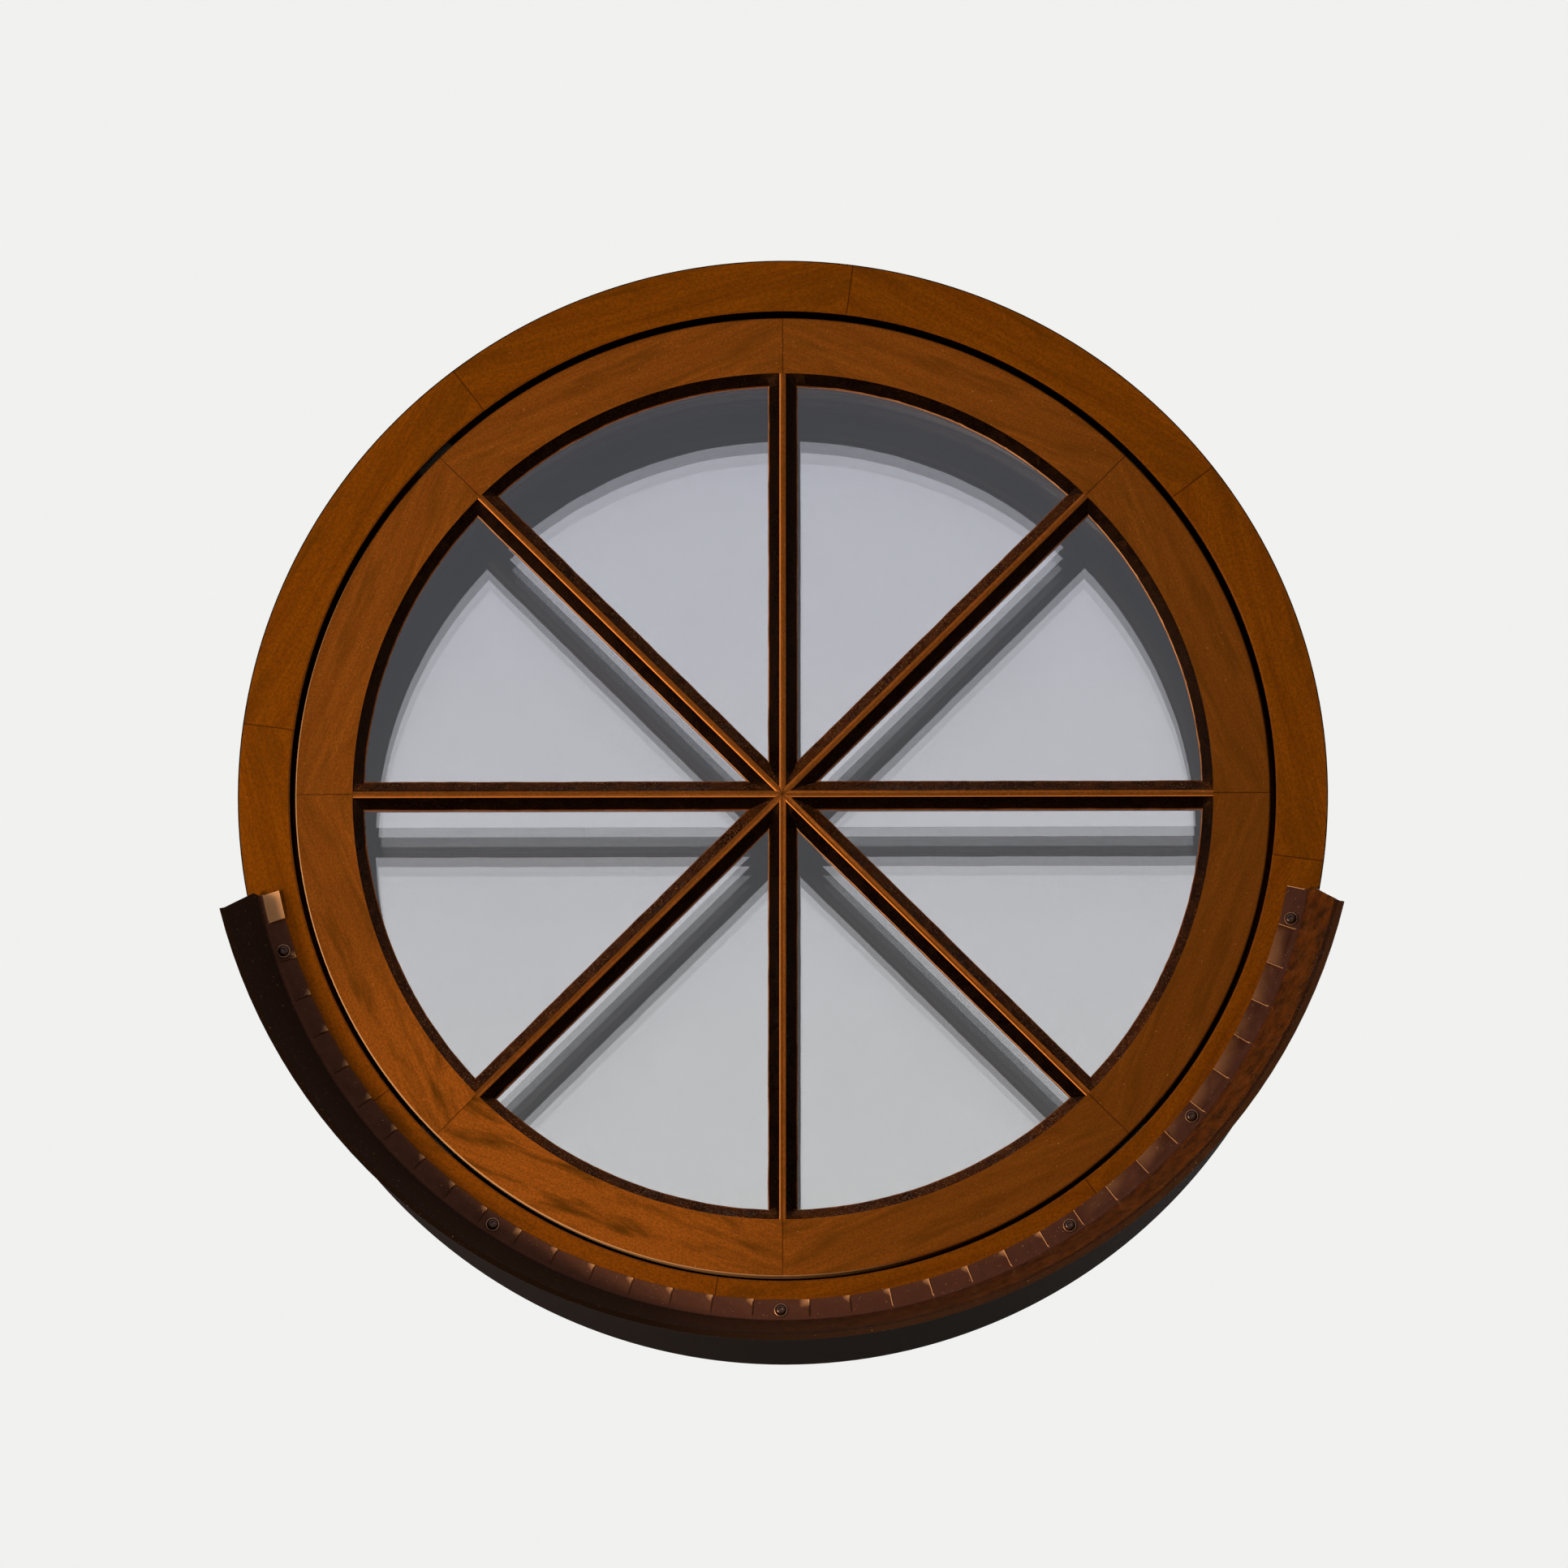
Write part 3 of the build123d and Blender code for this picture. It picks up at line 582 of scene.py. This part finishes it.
def puttyFinish():
    # Linseed putty under brown-black gloss paint: glossy where smooth, broken by specks
    look = puttyLook
    material, tree = newMaterial("paintedPutty")
    where = addNode(tree, "ShaderNodeTexCoord").outputs["Object"]
    patch = addNode(tree, "ShaderNodeTexNoise", {
        "Vector": where, "Scale": 1 / (look["patchSize"] * mm), "Detail": 5.0, "Roughness": 0.6,
    }).outputs[0]
    fine = addNode(tree, "ShaderNodeTexNoise", {
        "Vector": where, "Scale": 1 / (look["gritSize"] * mm), "Detail": 3.0, "Roughness": 0.7,
    }).outputs[0]
    grit = addNode(tree, "ShaderNodeMapRange", {
        "Value": fine, "From Min": 0.58, "From Max": 0.68, "To Max": 0.85,
    }, interpolation_type="SMOOTHSTEP").outputs[0]
    body = addNode(tree, "ShaderNodeMix", {
        "Factor": patch, 6: linearColour(look["paint"]), 7: linearColour(look["lift"]),
    }, data_type="RGBA").outputs[2]

    # Slopes that face up hold dust and grit, and those that face down stay clean
    facing = addNode(tree, "ShaderNodeNewGeometry").outputs["Normal"]
    ledge = addNode(tree, "ShaderNodeMapRange", {
        "Value": addNode(tree, "ShaderNodeVectorMath", {
            0: facing, 1: (0.0, 0.0, 1.0),
        }, operation="DOT_PRODUCT").outputs["Value"],
        "From Min": 0.08, "From Max": 0.45,
    }).outputs[0]
    dusty = addNode(tree, "ShaderNodeMapRange", {
        "Value": patch, "From Min": 0.3, "From Max": 0.62, "To Min": 0.35, "To Max": 1.0,
    }).outputs[0]
    dusty = addNode(tree, "ShaderNodeMath", {0: dusty, 1: ledge}, operation="MULTIPLY").outputs[0]
    body = addNode(tree, "ShaderNodeMix", {
        "Factor": dusty, 6: body, 7: linearColour(look["dust"]),
    }, data_type="RGBA").outputs[2]
    ledge = addNode(tree, "ShaderNodeMath", {0: ledge, 1: 0.92, 2: 0.08}, operation="MULTIPLY_ADD").outputs[0]
    grit = addNode(tree, "ShaderNodeMath", {0: grit, 1: ledge}, operation="MULTIPLY").outputs[0]
    body = addNode(tree, "ShaderNodeMix", {
        "Factor": grit, 6: body, 7: linearColour(look["grit"]),
    }, data_type="RGBA").outputs[2]

    # The brush laps a little brown paint over the glass along the putty's foot, with a painted highlight where
    # it faces the lower left
    depth = addNode(tree, "ShaderNodeSeparateXYZ", {"Vector": where}).outputs["Y"]
    foot = addNode(tree, "ShaderNodeMath", {
        0: depth, 1: puttyFoot - look["edgeLine"] * mm,
    }, operation="GREATER_THAN").outputs[0]
    foot = addNode(tree, "ShaderNodeMath", {0: foot, 1: patch}, operation="MULTIPLY").outputs[0]
    facing = addNode(tree, "ShaderNodeVectorMath", {
        0: facing, 1: highlightSide,
    }, operation="DOT_PRODUCT").outputs["Value"]
    footHighlight = addNode(tree, "ShaderNodeMapRange", {"Value": facing, "From Min": 0.8, "From Max": 0.97}).outputs[0]
    lap = addNode(tree, "ShaderNodeMix", {
        "Factor": footHighlight, 6: linearColour(look["edge"]), 7: linearColour(look["footHighlight"]),
    }, data_type="RGBA").outputs[2]
    body = addNode(tree, "ShaderNodeMix", {"Factor": foot, 6: body, 7: lap}, data_type="RGBA").outputs[2]
    rough = addNode(tree, "ShaderNodeMapRange", {
        "Value": patch, "From Min": 0.35, "From Max": 0.65, "To Min": look["roughLow"],
        "To Max": look["roughHigh"],
    }).outputs[0]
    height = addNode(tree, "ShaderNodeMath", {0: patch, 1: fine}, operation="ADD").outputs[0]
    bump = addNode(tree, "ShaderNodeBump", {"Height": height, "Strength": 0.5, "Distance": 0.5 * mm}).outputs[0]
    surface = addNode(tree, "ShaderNodeBsdfPrincipled", {
        "Base Color": body, "Roughness": rough, "Normal": bump, "IOR": 1.5, "Specular IOR Level": 0.1,
        "Specular Tint": linearColour(look["sheen"]),
    })
    addNode(tree, "ShaderNodeOutputMaterial", {"Surface": surface.outputs[0]})
    return material


def wavyPutty(k, material):
    # Cut across every few millimetres, then its slope and foot wander as a knife leaves them
    node = f"putty_{k}"
    look = puttyLook
    form = mergedCopy(node)
    low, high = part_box(node)
    for axis in (0, 2):
        spacing = look["cutEvery"] * mm
        for n in range(math.ceil(low[axis] / spacing), math.ceil(high[axis] / spacing)):
            square = Vector((1, 0, 0)) if axis == 0 else Vector((0, 0, 1))
            cutAcross(form, form.verts[:] + form.edges[:] + form.faces[:], square * n * spacing, square)
    form.normal_update()
    moves = {}
    for vert in form.verts:
        slopes = [face.normal for face in vert.link_faces if -0.9 < face.normal.y < -0.3]
        if not slopes:
            continue
        slope = sum(slopes, Vector()).normalized()
        wave = noise.noise(vert.co / (look["waveLength"] * mm)) * look["wave"]
        ripple = noise.noise(vert.co / (look["rippleLength"] * mm)) * look["ripple"]
        if vert.co.y > high[1] - 0.1 * mm:
            slope = Vector((slope.x, 0, slope.z)).normalized()
            moves[vert] = slope * (wave + ripple + 0.3) * mm
        elif vert.co.y < low[1] + 0.1 * mm:
            moves[vert] = Vector((0, look["topDrop"] * mm, 0)) + slope * (wave + ripple) * 0.5 * mm
        else:
            moves[vert] = slope * (wave + ripple) * mm
    for vert, move in moves.items():
        vert.co += move
    standIn(form, f"handRunPutty{k}", node, material, sharpAngle=30)


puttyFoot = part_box("putty_1")[1][1]
putty = puttyFinish()
for k in range(1, 9):
    wavyPutty(k, putty)
print("putty run")


# Glass: each sheet lets through what is behind it and mirrors its own share of the pale sky
glassSheets = {
    "pane_1": {"mirror": 0.064, "pass": "#ffffff"},
    "unit_outer_pane": {"mirror": 0.2, "pass": "#ffffff"},
    "unit_middle_pane": {"mirror": 0.32, "pass": "#ffffff"},
    # The innermost sheet lets only a grey share through: painted shade for the dark space behind the window
    "unit_inner_pane": {"mirror": 0.25, "pass": "#4c5256"},
}
coatPatches, coatSpread = 120, 0.06  # size in millimetres, and how far the mirror's share strays


def sheetGlass(name, member):
    # Float glass with a mirror coat on its outdoor face, dead flat, so the bars stand in it as clear ghosts
    look = glassSheets[member]
    low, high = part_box(member)
    material, tree = newMaterial(name)
    where = addNode(tree, "ShaderNodeTexCoord").outputs["Object"]
    film = addNode(tree, "ShaderNodeTexNoise", {
        "Vector": where, "Scale": 1 / (coatPatches * mm), "Detail": 5.0, "Roughness": 0.7,
    }).outputs[0]
    mirror = addNode(tree, "ShaderNodeMapRange", {
        "Value": film, "To Min": look["mirror"] * (1 - coatSpread), "To Max": look["mirror"] * (1 + coatSpread),
    }).outputs["Result"]
    depth = addNode(tree, "ShaderNodeSeparateXYZ", {"Vector": where}).outputs["Y"]
    coated = addNode(tree, "ShaderNodeMath", {
        0: depth, 1: (low[1] + high[1]) / 2,
    }, operation="LESS_THAN").outputs[0]
    mirror = addNode(tree, "ShaderNodeMath", {0: mirror, 1: coated}, operation="MULTIPLY").outputs[0]
    through = addNode(tree, "ShaderNodeBsdfTransparent", {"Color": linearColour(look["pass"])})
    gloss = addNode(tree, "ShaderNodeBsdfGlossy", {"Color": (1.0, 1.0, 1.0, 1.0), "Roughness": 0.0})
    both = addNode(tree, "ShaderNodeMixShader", {"Fac": mirror, 1: through.outputs[0], 2: gloss.outputs[0]})
    addNode(tree, "ShaderNodeOutputMaterial", {"Surface": both.outputs[0]})
    return material


outerGlass = sheetGlass("clearFloatGlass", "pane_1")
for k in range(1, 9):
    dress(f"pane_{k}", outerGlass)
for member in ("unit_outer_pane", "unit_middle_pane", "unit_inner_pane"):
    dress(member, sheetGlass(f"coatedGlass_{member}", member))
print("glass ready")


# Sill flashing: dark brown coil-coated sheet, with dust on the apron, painted shade at its left and underneath,
# and painted highlights on the tabs
flashingLook = {
    "coat": "#4a281f", "coatDark": "#331c17", "dust": "#643208", "dustDark": "#241203", "sheetShade": "#050302",
    "speck": "#b39368", "dustSize": 9, "speckSize": 1.5, "roughLow": 0.26, "roughHigh": 0.5,
    "apronStart": -86.5, "apronFull": -92.0, "paintedLight": "#ffb980", "sheen": "#e8a478",
    "hem": -171.0, "drip": -183.6, "hemShade": 0.93, "dripLine": "#3a1e0a",
    "dentSize": 15, "dent": 2.2,
    # Distances from the middle to the right, in millimetres
    "shadeFrom": 300, "shadeFull": -100, "dentedFrom": 80, "dentedFull": 250,
}


def coatedSheet():
    # Polyester coil coating on steel: low gloss, slightly violet brown, with dust on the apron
    look = flashingLook
    material, tree = newMaterial("coilCoatedSheet")
    where = addNode(tree, "ShaderNodeTexCoord").outputs["Object"]
    # Dirt is washed down the slope of the apron, so its marks are long from front to back
    washed = addNode(tree, "ShaderNodeVectorMath", {
        0: where, 1: (1.0, 0.3, 1.0),
    }, operation="MULTIPLY").outputs[0]
    cloud = addNode(tree, "ShaderNodeTexNoise", {
        "Vector": washed, "Scale": 1 / (look["dustSize"] * mm), "Detail": 6.0, "Roughness": 0.7,
    }).outputs[0]
    fine = addNode(tree, "ShaderNodeTexNoise", {
        "Vector": washed, "Scale": 1 / (look["speckSize"] * mm), "Detail": 2.0, "Roughness": 0.6,
    }).outputs[0]
    parts = addNode(tree, "ShaderNodeSeparateXYZ", {"Vector": where}).outputs
    apron = addNode(tree, "ShaderNodeMapRange", {
        "Value": parts["Y"], "From Min": look["apronStart"] * mm, "From Max": look["apronFull"] * mm,
    }).outputs[0]
    coat = addNode(tree, "ShaderNodeMix", {
        "Factor": cloud, 6: linearColour(look["coat"]), 7: linearColour(look["coatDark"]),
    }, data_type="RGBA").outputs[2]
    mottle = addNode(tree, "ShaderNodeMapRange", {
        "Value": cloud, "From Min": 0.35, "From Max": 0.65,
    }).outputs[0]
    dust = addNode(tree, "ShaderNodeMix", {
        "Factor": mottle, 6: linearColour(look["dust"]), 7: linearColour(look["dustDark"]),
    }, data_type="RGBA").outputs[2]
    # The apron is painted near black as shade at the left, which fades out towards its right end, where its
    # brown dust shows
    sheetShade = addNode(tree, "ShaderNodeMapRange", {
        "Value": parts["X"], "From Min": look["shadeFrom"] * mm, "From Max": look["shadeFull"] * mm, "To Max": 0.98,
    }).outputs[0]
    dust = addNode(tree, "ShaderNodeMix", {
        "Factor": sheetShade, 6: dust, 7: linearColour(look["sheetShade"]),
    }, data_type="RGBA").outputs[2]
    body = addNode(tree, "ShaderNodeMix", {"Factor": apron, 6: coat, 7: dust}, data_type="RGBA").outputs[2]

    # The hem is painted dark as shade, and a lighter brown line runs along its lip where the apron is not
    # painted shade
    hem = addNode(tree, "ShaderNodeMapRange", {
        "Value": parts["Y"], "From Min": look["hem"] * mm, "From Max": (look["hem"] - 1.5) * mm,
        "To Max": look["hemShade"],
    }).outputs[0]
    body = addNode(tree, "ShaderNodeMix", {
        "Factor": hem, 6: body, 7: linearColour(look["sheetShade"]),
    }, data_type="RGBA").outputs[2]
    lip = addNode(tree, "ShaderNodeMapRange", {
        "Value": parts["Y"], "From Min": (look["drip"] + 0.5) * mm, "From Max": look["drip"] * mm,
    }).outputs[0]
    lip = addNode(tree, "ShaderNodeMath", {0: lip, 1: cloud}, operation="MULTIPLY").outputs[0]
    unshaded = addNode(tree, "ShaderNodeMath", {0: 1.0, 1: sheetShade}, operation="SUBTRACT").outputs[0]
    lip = addNode(tree, "ShaderNodeMath", {0: lip, 1: unshaded}, operation="MULTIPLY").outputs[0]
    body = addNode(tree, "ShaderNodeMix", {
        "Factor": lip, 6: body, 7: linearColour(look["dripLine"]),
    }, data_type="RGBA").outputs[2]
    speck = addNode(tree, "ShaderNodeMapRange", {
        "Value": fine, "From Min": 0.68, "From Max": 0.75, "To Max": 0.6,
    }, interpolation_type="SMOOTHSTEP").outputs[0]
    body = addNode(tree, "ShaderNodeMix", {
        "Factor": speck, 6: body, 7: linearColour(look["speck"]),
    }, data_type="RGBA").outputs[2]
    # The sheet's outer side, facing away from the axis, is painted near black: its back coat, and painted shade
    # under the apron
    facing = addNode(tree, "ShaderNodeNewGeometry").outputs["Normal"]
    outward = addNode(tree, "ShaderNodeVectorMath", {
        0: facing, 1: offAxis(tree, where, "NORMALIZE"),
    }, operation="DOT_PRODUCT").outputs["Value"]
    outward = addNode(tree, "ShaderNodeMapRange", {
        "Value": outward, "From Min": 0.3, "From Max": 0.6,
    }).outputs[0]
    body = addNode(tree, "ShaderNodeMix", {
        "Factor": outward, 6: body, 7: linearColour(look["sheetShade"]),
    }, data_type="RGBA").outputs[2]

    # crumpledFlashing stores painted highlights above nothing, and painted shade in the slots below it
    paintedLight = addNode(tree, "ShaderNodeAttribute", attribute_name="paintedLight").outputs["Fac"]
    slotShade = addNode(tree, "ShaderNodeMath", {0: paintedLight, 1: -1.0}, operation="MULTIPLY").outputs[0]
    body = addNode(tree, "ShaderNodeMix", {
        "Factor": slotShade, 6: body, 7: linearColour(look["sheetShade"]),
    }, data_type="RGBA").outputs[2]
    body = addNode(tree, "ShaderNodeMix", {
        "Factor": paintedLight, 6: body, 7: linearColour(look["paintedLight"]),
    }, data_type="RGBA").outputs[2]
    rough = addNode(tree, "ShaderNodeMapRange", {
        "Value": cloud, "From Min": 0.3, "From Max": 0.7, "To Min": look["roughLow"],
        "To Max": look["roughHigh"],
    }).outputs[0]
    shadedApron = addNode(tree, "ShaderNodeMath", {0: sheetShade, 1: apron}, operation="MULTIPLY").outputs[0]
    rough = addNode(tree, "ShaderNodeMath", {0: rough, 1: shadedApron}, operation="MAXIMUM").outputs[0]
    rough = addNode(tree, "ShaderNodeMath", {0: rough, 1: outward}, operation="MAXIMUM").outputs[0]
    bump = addNode(tree, "ShaderNodeBump", {"Height": cloud, "Strength": 0.15, "Distance": 1.0 * mm}).outputs[0]

    # Hammer dents in the tabs at the right
    dents = addNode(tree, "ShaderNodeTexNoise", {
        "Vector": where, "Scale": 1 / (look["dentSize"] * mm), "Detail": 1.0,
    }).outputs[0]
    dented = addNode(tree, "ShaderNodeMapRange", {
        "Value": parts["X"], "From Min": look["dentedFrom"] * mm, "From Max": look["dentedFull"] * mm,
    }).outputs[0]
    dents = addNode(tree, "ShaderNodeMath", {0: dents, 1: dented}, operation="MULTIPLY").outputs[0]
    bump = addNode(tree, "ShaderNodeBump", {
        "Height": dents, "Strength": 1.0, "Distance": look["dent"] * mm, "Normal": bump,
    }).outputs[0]
    surface = addNode(tree, "ShaderNodeBsdfPrincipled", {
        "Base Color": body, "Roughness": rough, "Normal": bump, "IOR": 1.5, "Specular IOR Level": 0.3,
        "Specular Tint": linearColour(look["sheen"]),
    })
    addNode(tree, "ShaderNodeOutputMaterial", {"Surface": surface.outputs[0]})
    return material


tabLook = {
    "start": 191.3, "firstEnd": 194.5, "middleStart": 266.8, "middleEnd": 273.0, "end": 349.2, "eachSide": 17,
    "root": 387.5, "bend": 382.0, "tip": 376.0, "fold": 391.0, "cornerShare": 0.62,
    # Shares of painted highlight, where less than nothing is painted shade
    "rimShare": 0.93, "slotHighlight": 0.9, "glint": 0.45, "slotShade": -1.0, "tipHighlight": 0.15,
    "firstTabLight": 0.85, "firstLift": 5.5, "smallLift": 0.45, "bigLift": 2.2, "cornerLift": 0.5,
    # Angles from which slots get a painted highlight all along, tabs are crumpled and their tips get a painted
    # highlight
    "slotHighlightFrom": 280, "crumpledFrom": 300, "tipHighlightFrom": 305,
    # Shares of a tab's half width, at the end where angles grow
    "slotFrom": 0.945, "glintFrom": 0.8, "curledFrom": 0.9,
    "apronFrom": -88.5,  # depth at which the sheet leaves the tabs, in millimetres
    "screws": (197.9, 236.6, 269.8, 303.0, 321.0, 345.6),
}


def tabEdges():
    # Angles of the slots between the tabs, from the left end, anticlockwise from outdoors
    look = tabLook
    leftPitch = (look["middleStart"] - look["firstEnd"]) / (look["eachSide"] - 1)
    rightPitch = (look["end"] - look["middleEnd"]) / look["eachSide"]
    left = [look["firstEnd"] + n * leftPitch for n in range(look["eachSide"])]
    right = [look["middleEnd"] + n * rightPitch for n in range(look["eachSide"] + 1)]
    return [look["start"]] + left + right


def turnedTo(angle):
    # Outward direction at an angle, and the direction in which angles grow
    turn = math.radians(angle)
    return Vector((math.cos(turn), 0, math.sin(turn))), Vector((-math.sin(turn), 0, math.cos(turn)))


def angleOf(point):
    return math.degrees(math.atan2(point.z, point.x)) % 360


def onTabs(point):
    return point.y > tabLook["apronFrom"] * mm and ringRadius(point) < tabLook["fold"] * mm


def cutTabs(form, edges):
    # Every tab becomes faces of its own, cut where it bends and where its free corner curls
    look = tabLook
    for angle in edges[1:-1]:
        cutAcross(form, form.verts[:] + form.edges[:] + form.faces[:], Vector(), turnedTo(angle)[1])
    for start, end in zip(edges, edges[1:]):
        out = turnedTo((start + end) / 2)[0]
        corner = turnedTo(start + (end - start) * (1 + look["cornerShare"]) / 2)[1]
        rim = turnedTo(start + (end - start) * (1 + look["rimShare"]) / 2)[1]
        middle = Vector()
        cuts = [(out * look["root"] * mm, out), (out * look["bend"] * mm, out), (middle, corner), (middle, rim)]
        for place, square in cuts:
            faces = [
                face for face in form.faces
                if onTabs(face.calc_center_median()) and start < angleOf(face.calc_center_median()) < end
            ]
            edgesAround = {edge for face in faces for edge in face.edges}
            vertsAround = {vert for face in faces for vert in face.verts}
            cutAcross(form, faces + list(edgesAround) + list(vertsAround), place, square)


def crumpledFlashing(material):
    # Tabs are knocked flat by hand: most stand a hair off the frame, those at the right are twisted
    look = tabLook
    edges = tabEdges()
    form = mergedCopy("sill_flashing")
    cutTabs(form, edges)
    paintedLight = form.verts.layers.float.new("paintedLight")
    for vert in form.verts:
        radius = ringRadius(vert.co) / mm
        if vert.co.y < look["apronFrom"] * mm or radius > look["fold"]:
            continue
        angle = angleOf(vert.co)
        place = max(n for n in range(len(edges) - 1) if angle >= edges[n] or n == 0)
        start, end = edges[place], edges[place + 1]
        across = 2 * (angle - start) / (end - start) - 1
        # Slots get painted shade at the left with a painted highlight at their inner corner, and a painted
        # highlight all along at the right
        if across > look["slotFrom"] and radius < look["root"] + 1.5:
            highlightAll = angle > look["slotHighlightFrom"]
            atTip = radius < look["tip"] + 1
            vert[paintedLight] = look["slotHighlight"] if highlightAll or atTip else look["slotShade"]
        elif across > look["glintFrom"] and radius < look["tip"] + 1 and angle < look["crumpledFrom"]:
            vert[paintedLight] = look["glint"]
        # The first tab gets a painted highlight all over, as it tilts towards the light
        if place == 0 and radius < look["root"] + 1.5:
            vert[paintedLight] = look["firstTabLight"]
        if radius > look["root"] - 0.3:
            continue
        up = (look["root"] - radius) / (look["root"] - look["tip"])
        whim = noise.noise(Vector((place * 3.7, 0.5, 0.0)))
        twist = noise.noise(Vector((place * 5.3, 9.5, 0.0)))
        # Tips of the crumpled tabs at the right get a painted highlight
        if angle > look["tipHighlightFrom"] and up > 0.3 and across < look["curledFrom"]:
            vert[paintedLight] = look["tipHighlight"] * up * max(0.0, 0.4 + 1.2 * whim - 0.5 * across)
        if place == 0:
            lift = look["firstLift"] * (1 - 0.25 * across)
        elif any(start < screw < end for screw in look["screws"]):
            lift = 0.0
        else:
            most = look["bigLift"] if angle > look["crumpledFrom"] else look["smallLift"]
            lift = most * max(0.0, 0.45 + 0.5 * whim + 0.9 * twist * across)
        if across > look["curledFrom"] and place > 0:
            lift += look["cornerLift"]
        vert.co.y -= lift * up * mm
    standIn(form, "tabbedFlashing", "sill_flashing", material, sharpAngle=25)


screwLook = {
    "circle": 384.0, "seat": -86.4,  # underside of the washers, in millimetres
    "headRadius": 3.55, "steps": 36,
    # Half section from the shank's point to the middle of the socket: radius, and height above the seat
    "section": (
        (0.0, -22.0), (1.7, -20.0), (1.7, 0.0), (5.0, 0.0), (5.1, 0.5), (4.8, 1.1), (4.3, 1.2), (3.9, 0.8),
        (3.6, 0.7), (3.5, 2.2), (3.3, 2.7), (2.7, 3.1), (1.9, 3.2), (1.7, 3.0), (1.6, 1.9), (0.0, 1.5),
    ),
}


def cupWasherScrews(washerFinish, headFinish):
    # Socket screws in dished washers, each turned to its own angle; the near-black heads are dark steel and
    # also paint the shade in the cups
    look = screwLook
    form = bmesh.new()
    for angle in tabLook["screws"]:
        middle = turnedTo(angle)[0] * look["circle"] * mm
        turned = bmesh.new()
        line = [turned.verts.new((radius * mm, -height * mm, 0)) for radius, height in look["section"]]
        links = [turned.edges.new(pair) for pair in zip(line, line[1:])]
        bmesh.ops.spin(turned, geom=line + links, cent=(0, 0, 0), axis=(0, 1, 0), angle=math.tau,
                       steps=look["steps"], use_merge=True)
        bmesh.ops.remove_doubles(turned, verts=turned.verts, dist=0.001 * mm)
        bmesh.ops.recalc_face_normals(turned, faces=turned.faces)
        bmesh.ops.translate(turned, vec=middle + Vector((0, look["seat"] * mm, 0)), verts=turned.verts)
        for face in turned.faces:
            at = face.calc_center_median()
            face.material_index = int(math.hypot(at.x - middle.x, at.z - middle.z) < look["headRadius"] * mm)
        single = bpy.data.meshes.new("turnedScrew")
        turned.to_mesh(single)
        turned.free()
        form.from_mesh(single)
        bpy.data.meshes.remove(single)
    screws = standIn(form, "cupWasherScrews", "flashing_screws", washerFinish, sharpAngle=40)
    screws.data.materials.append(headFinish)


crumpledFlashing(coatedSheet())
cupWasherScrews(
    plainFinish("rubbedWasherSteel", "#5c4030", "#94694b", 0.2, 0.36, 1.2, metallic=0.85, bump=0.3),
    plainFinish("darkHeadAndCupShade", "#1d100b", "#4a2c1c", 0.15, 0.35, 0.8, metallic=0.6, bump=0.3),
)
print("flashing finished")
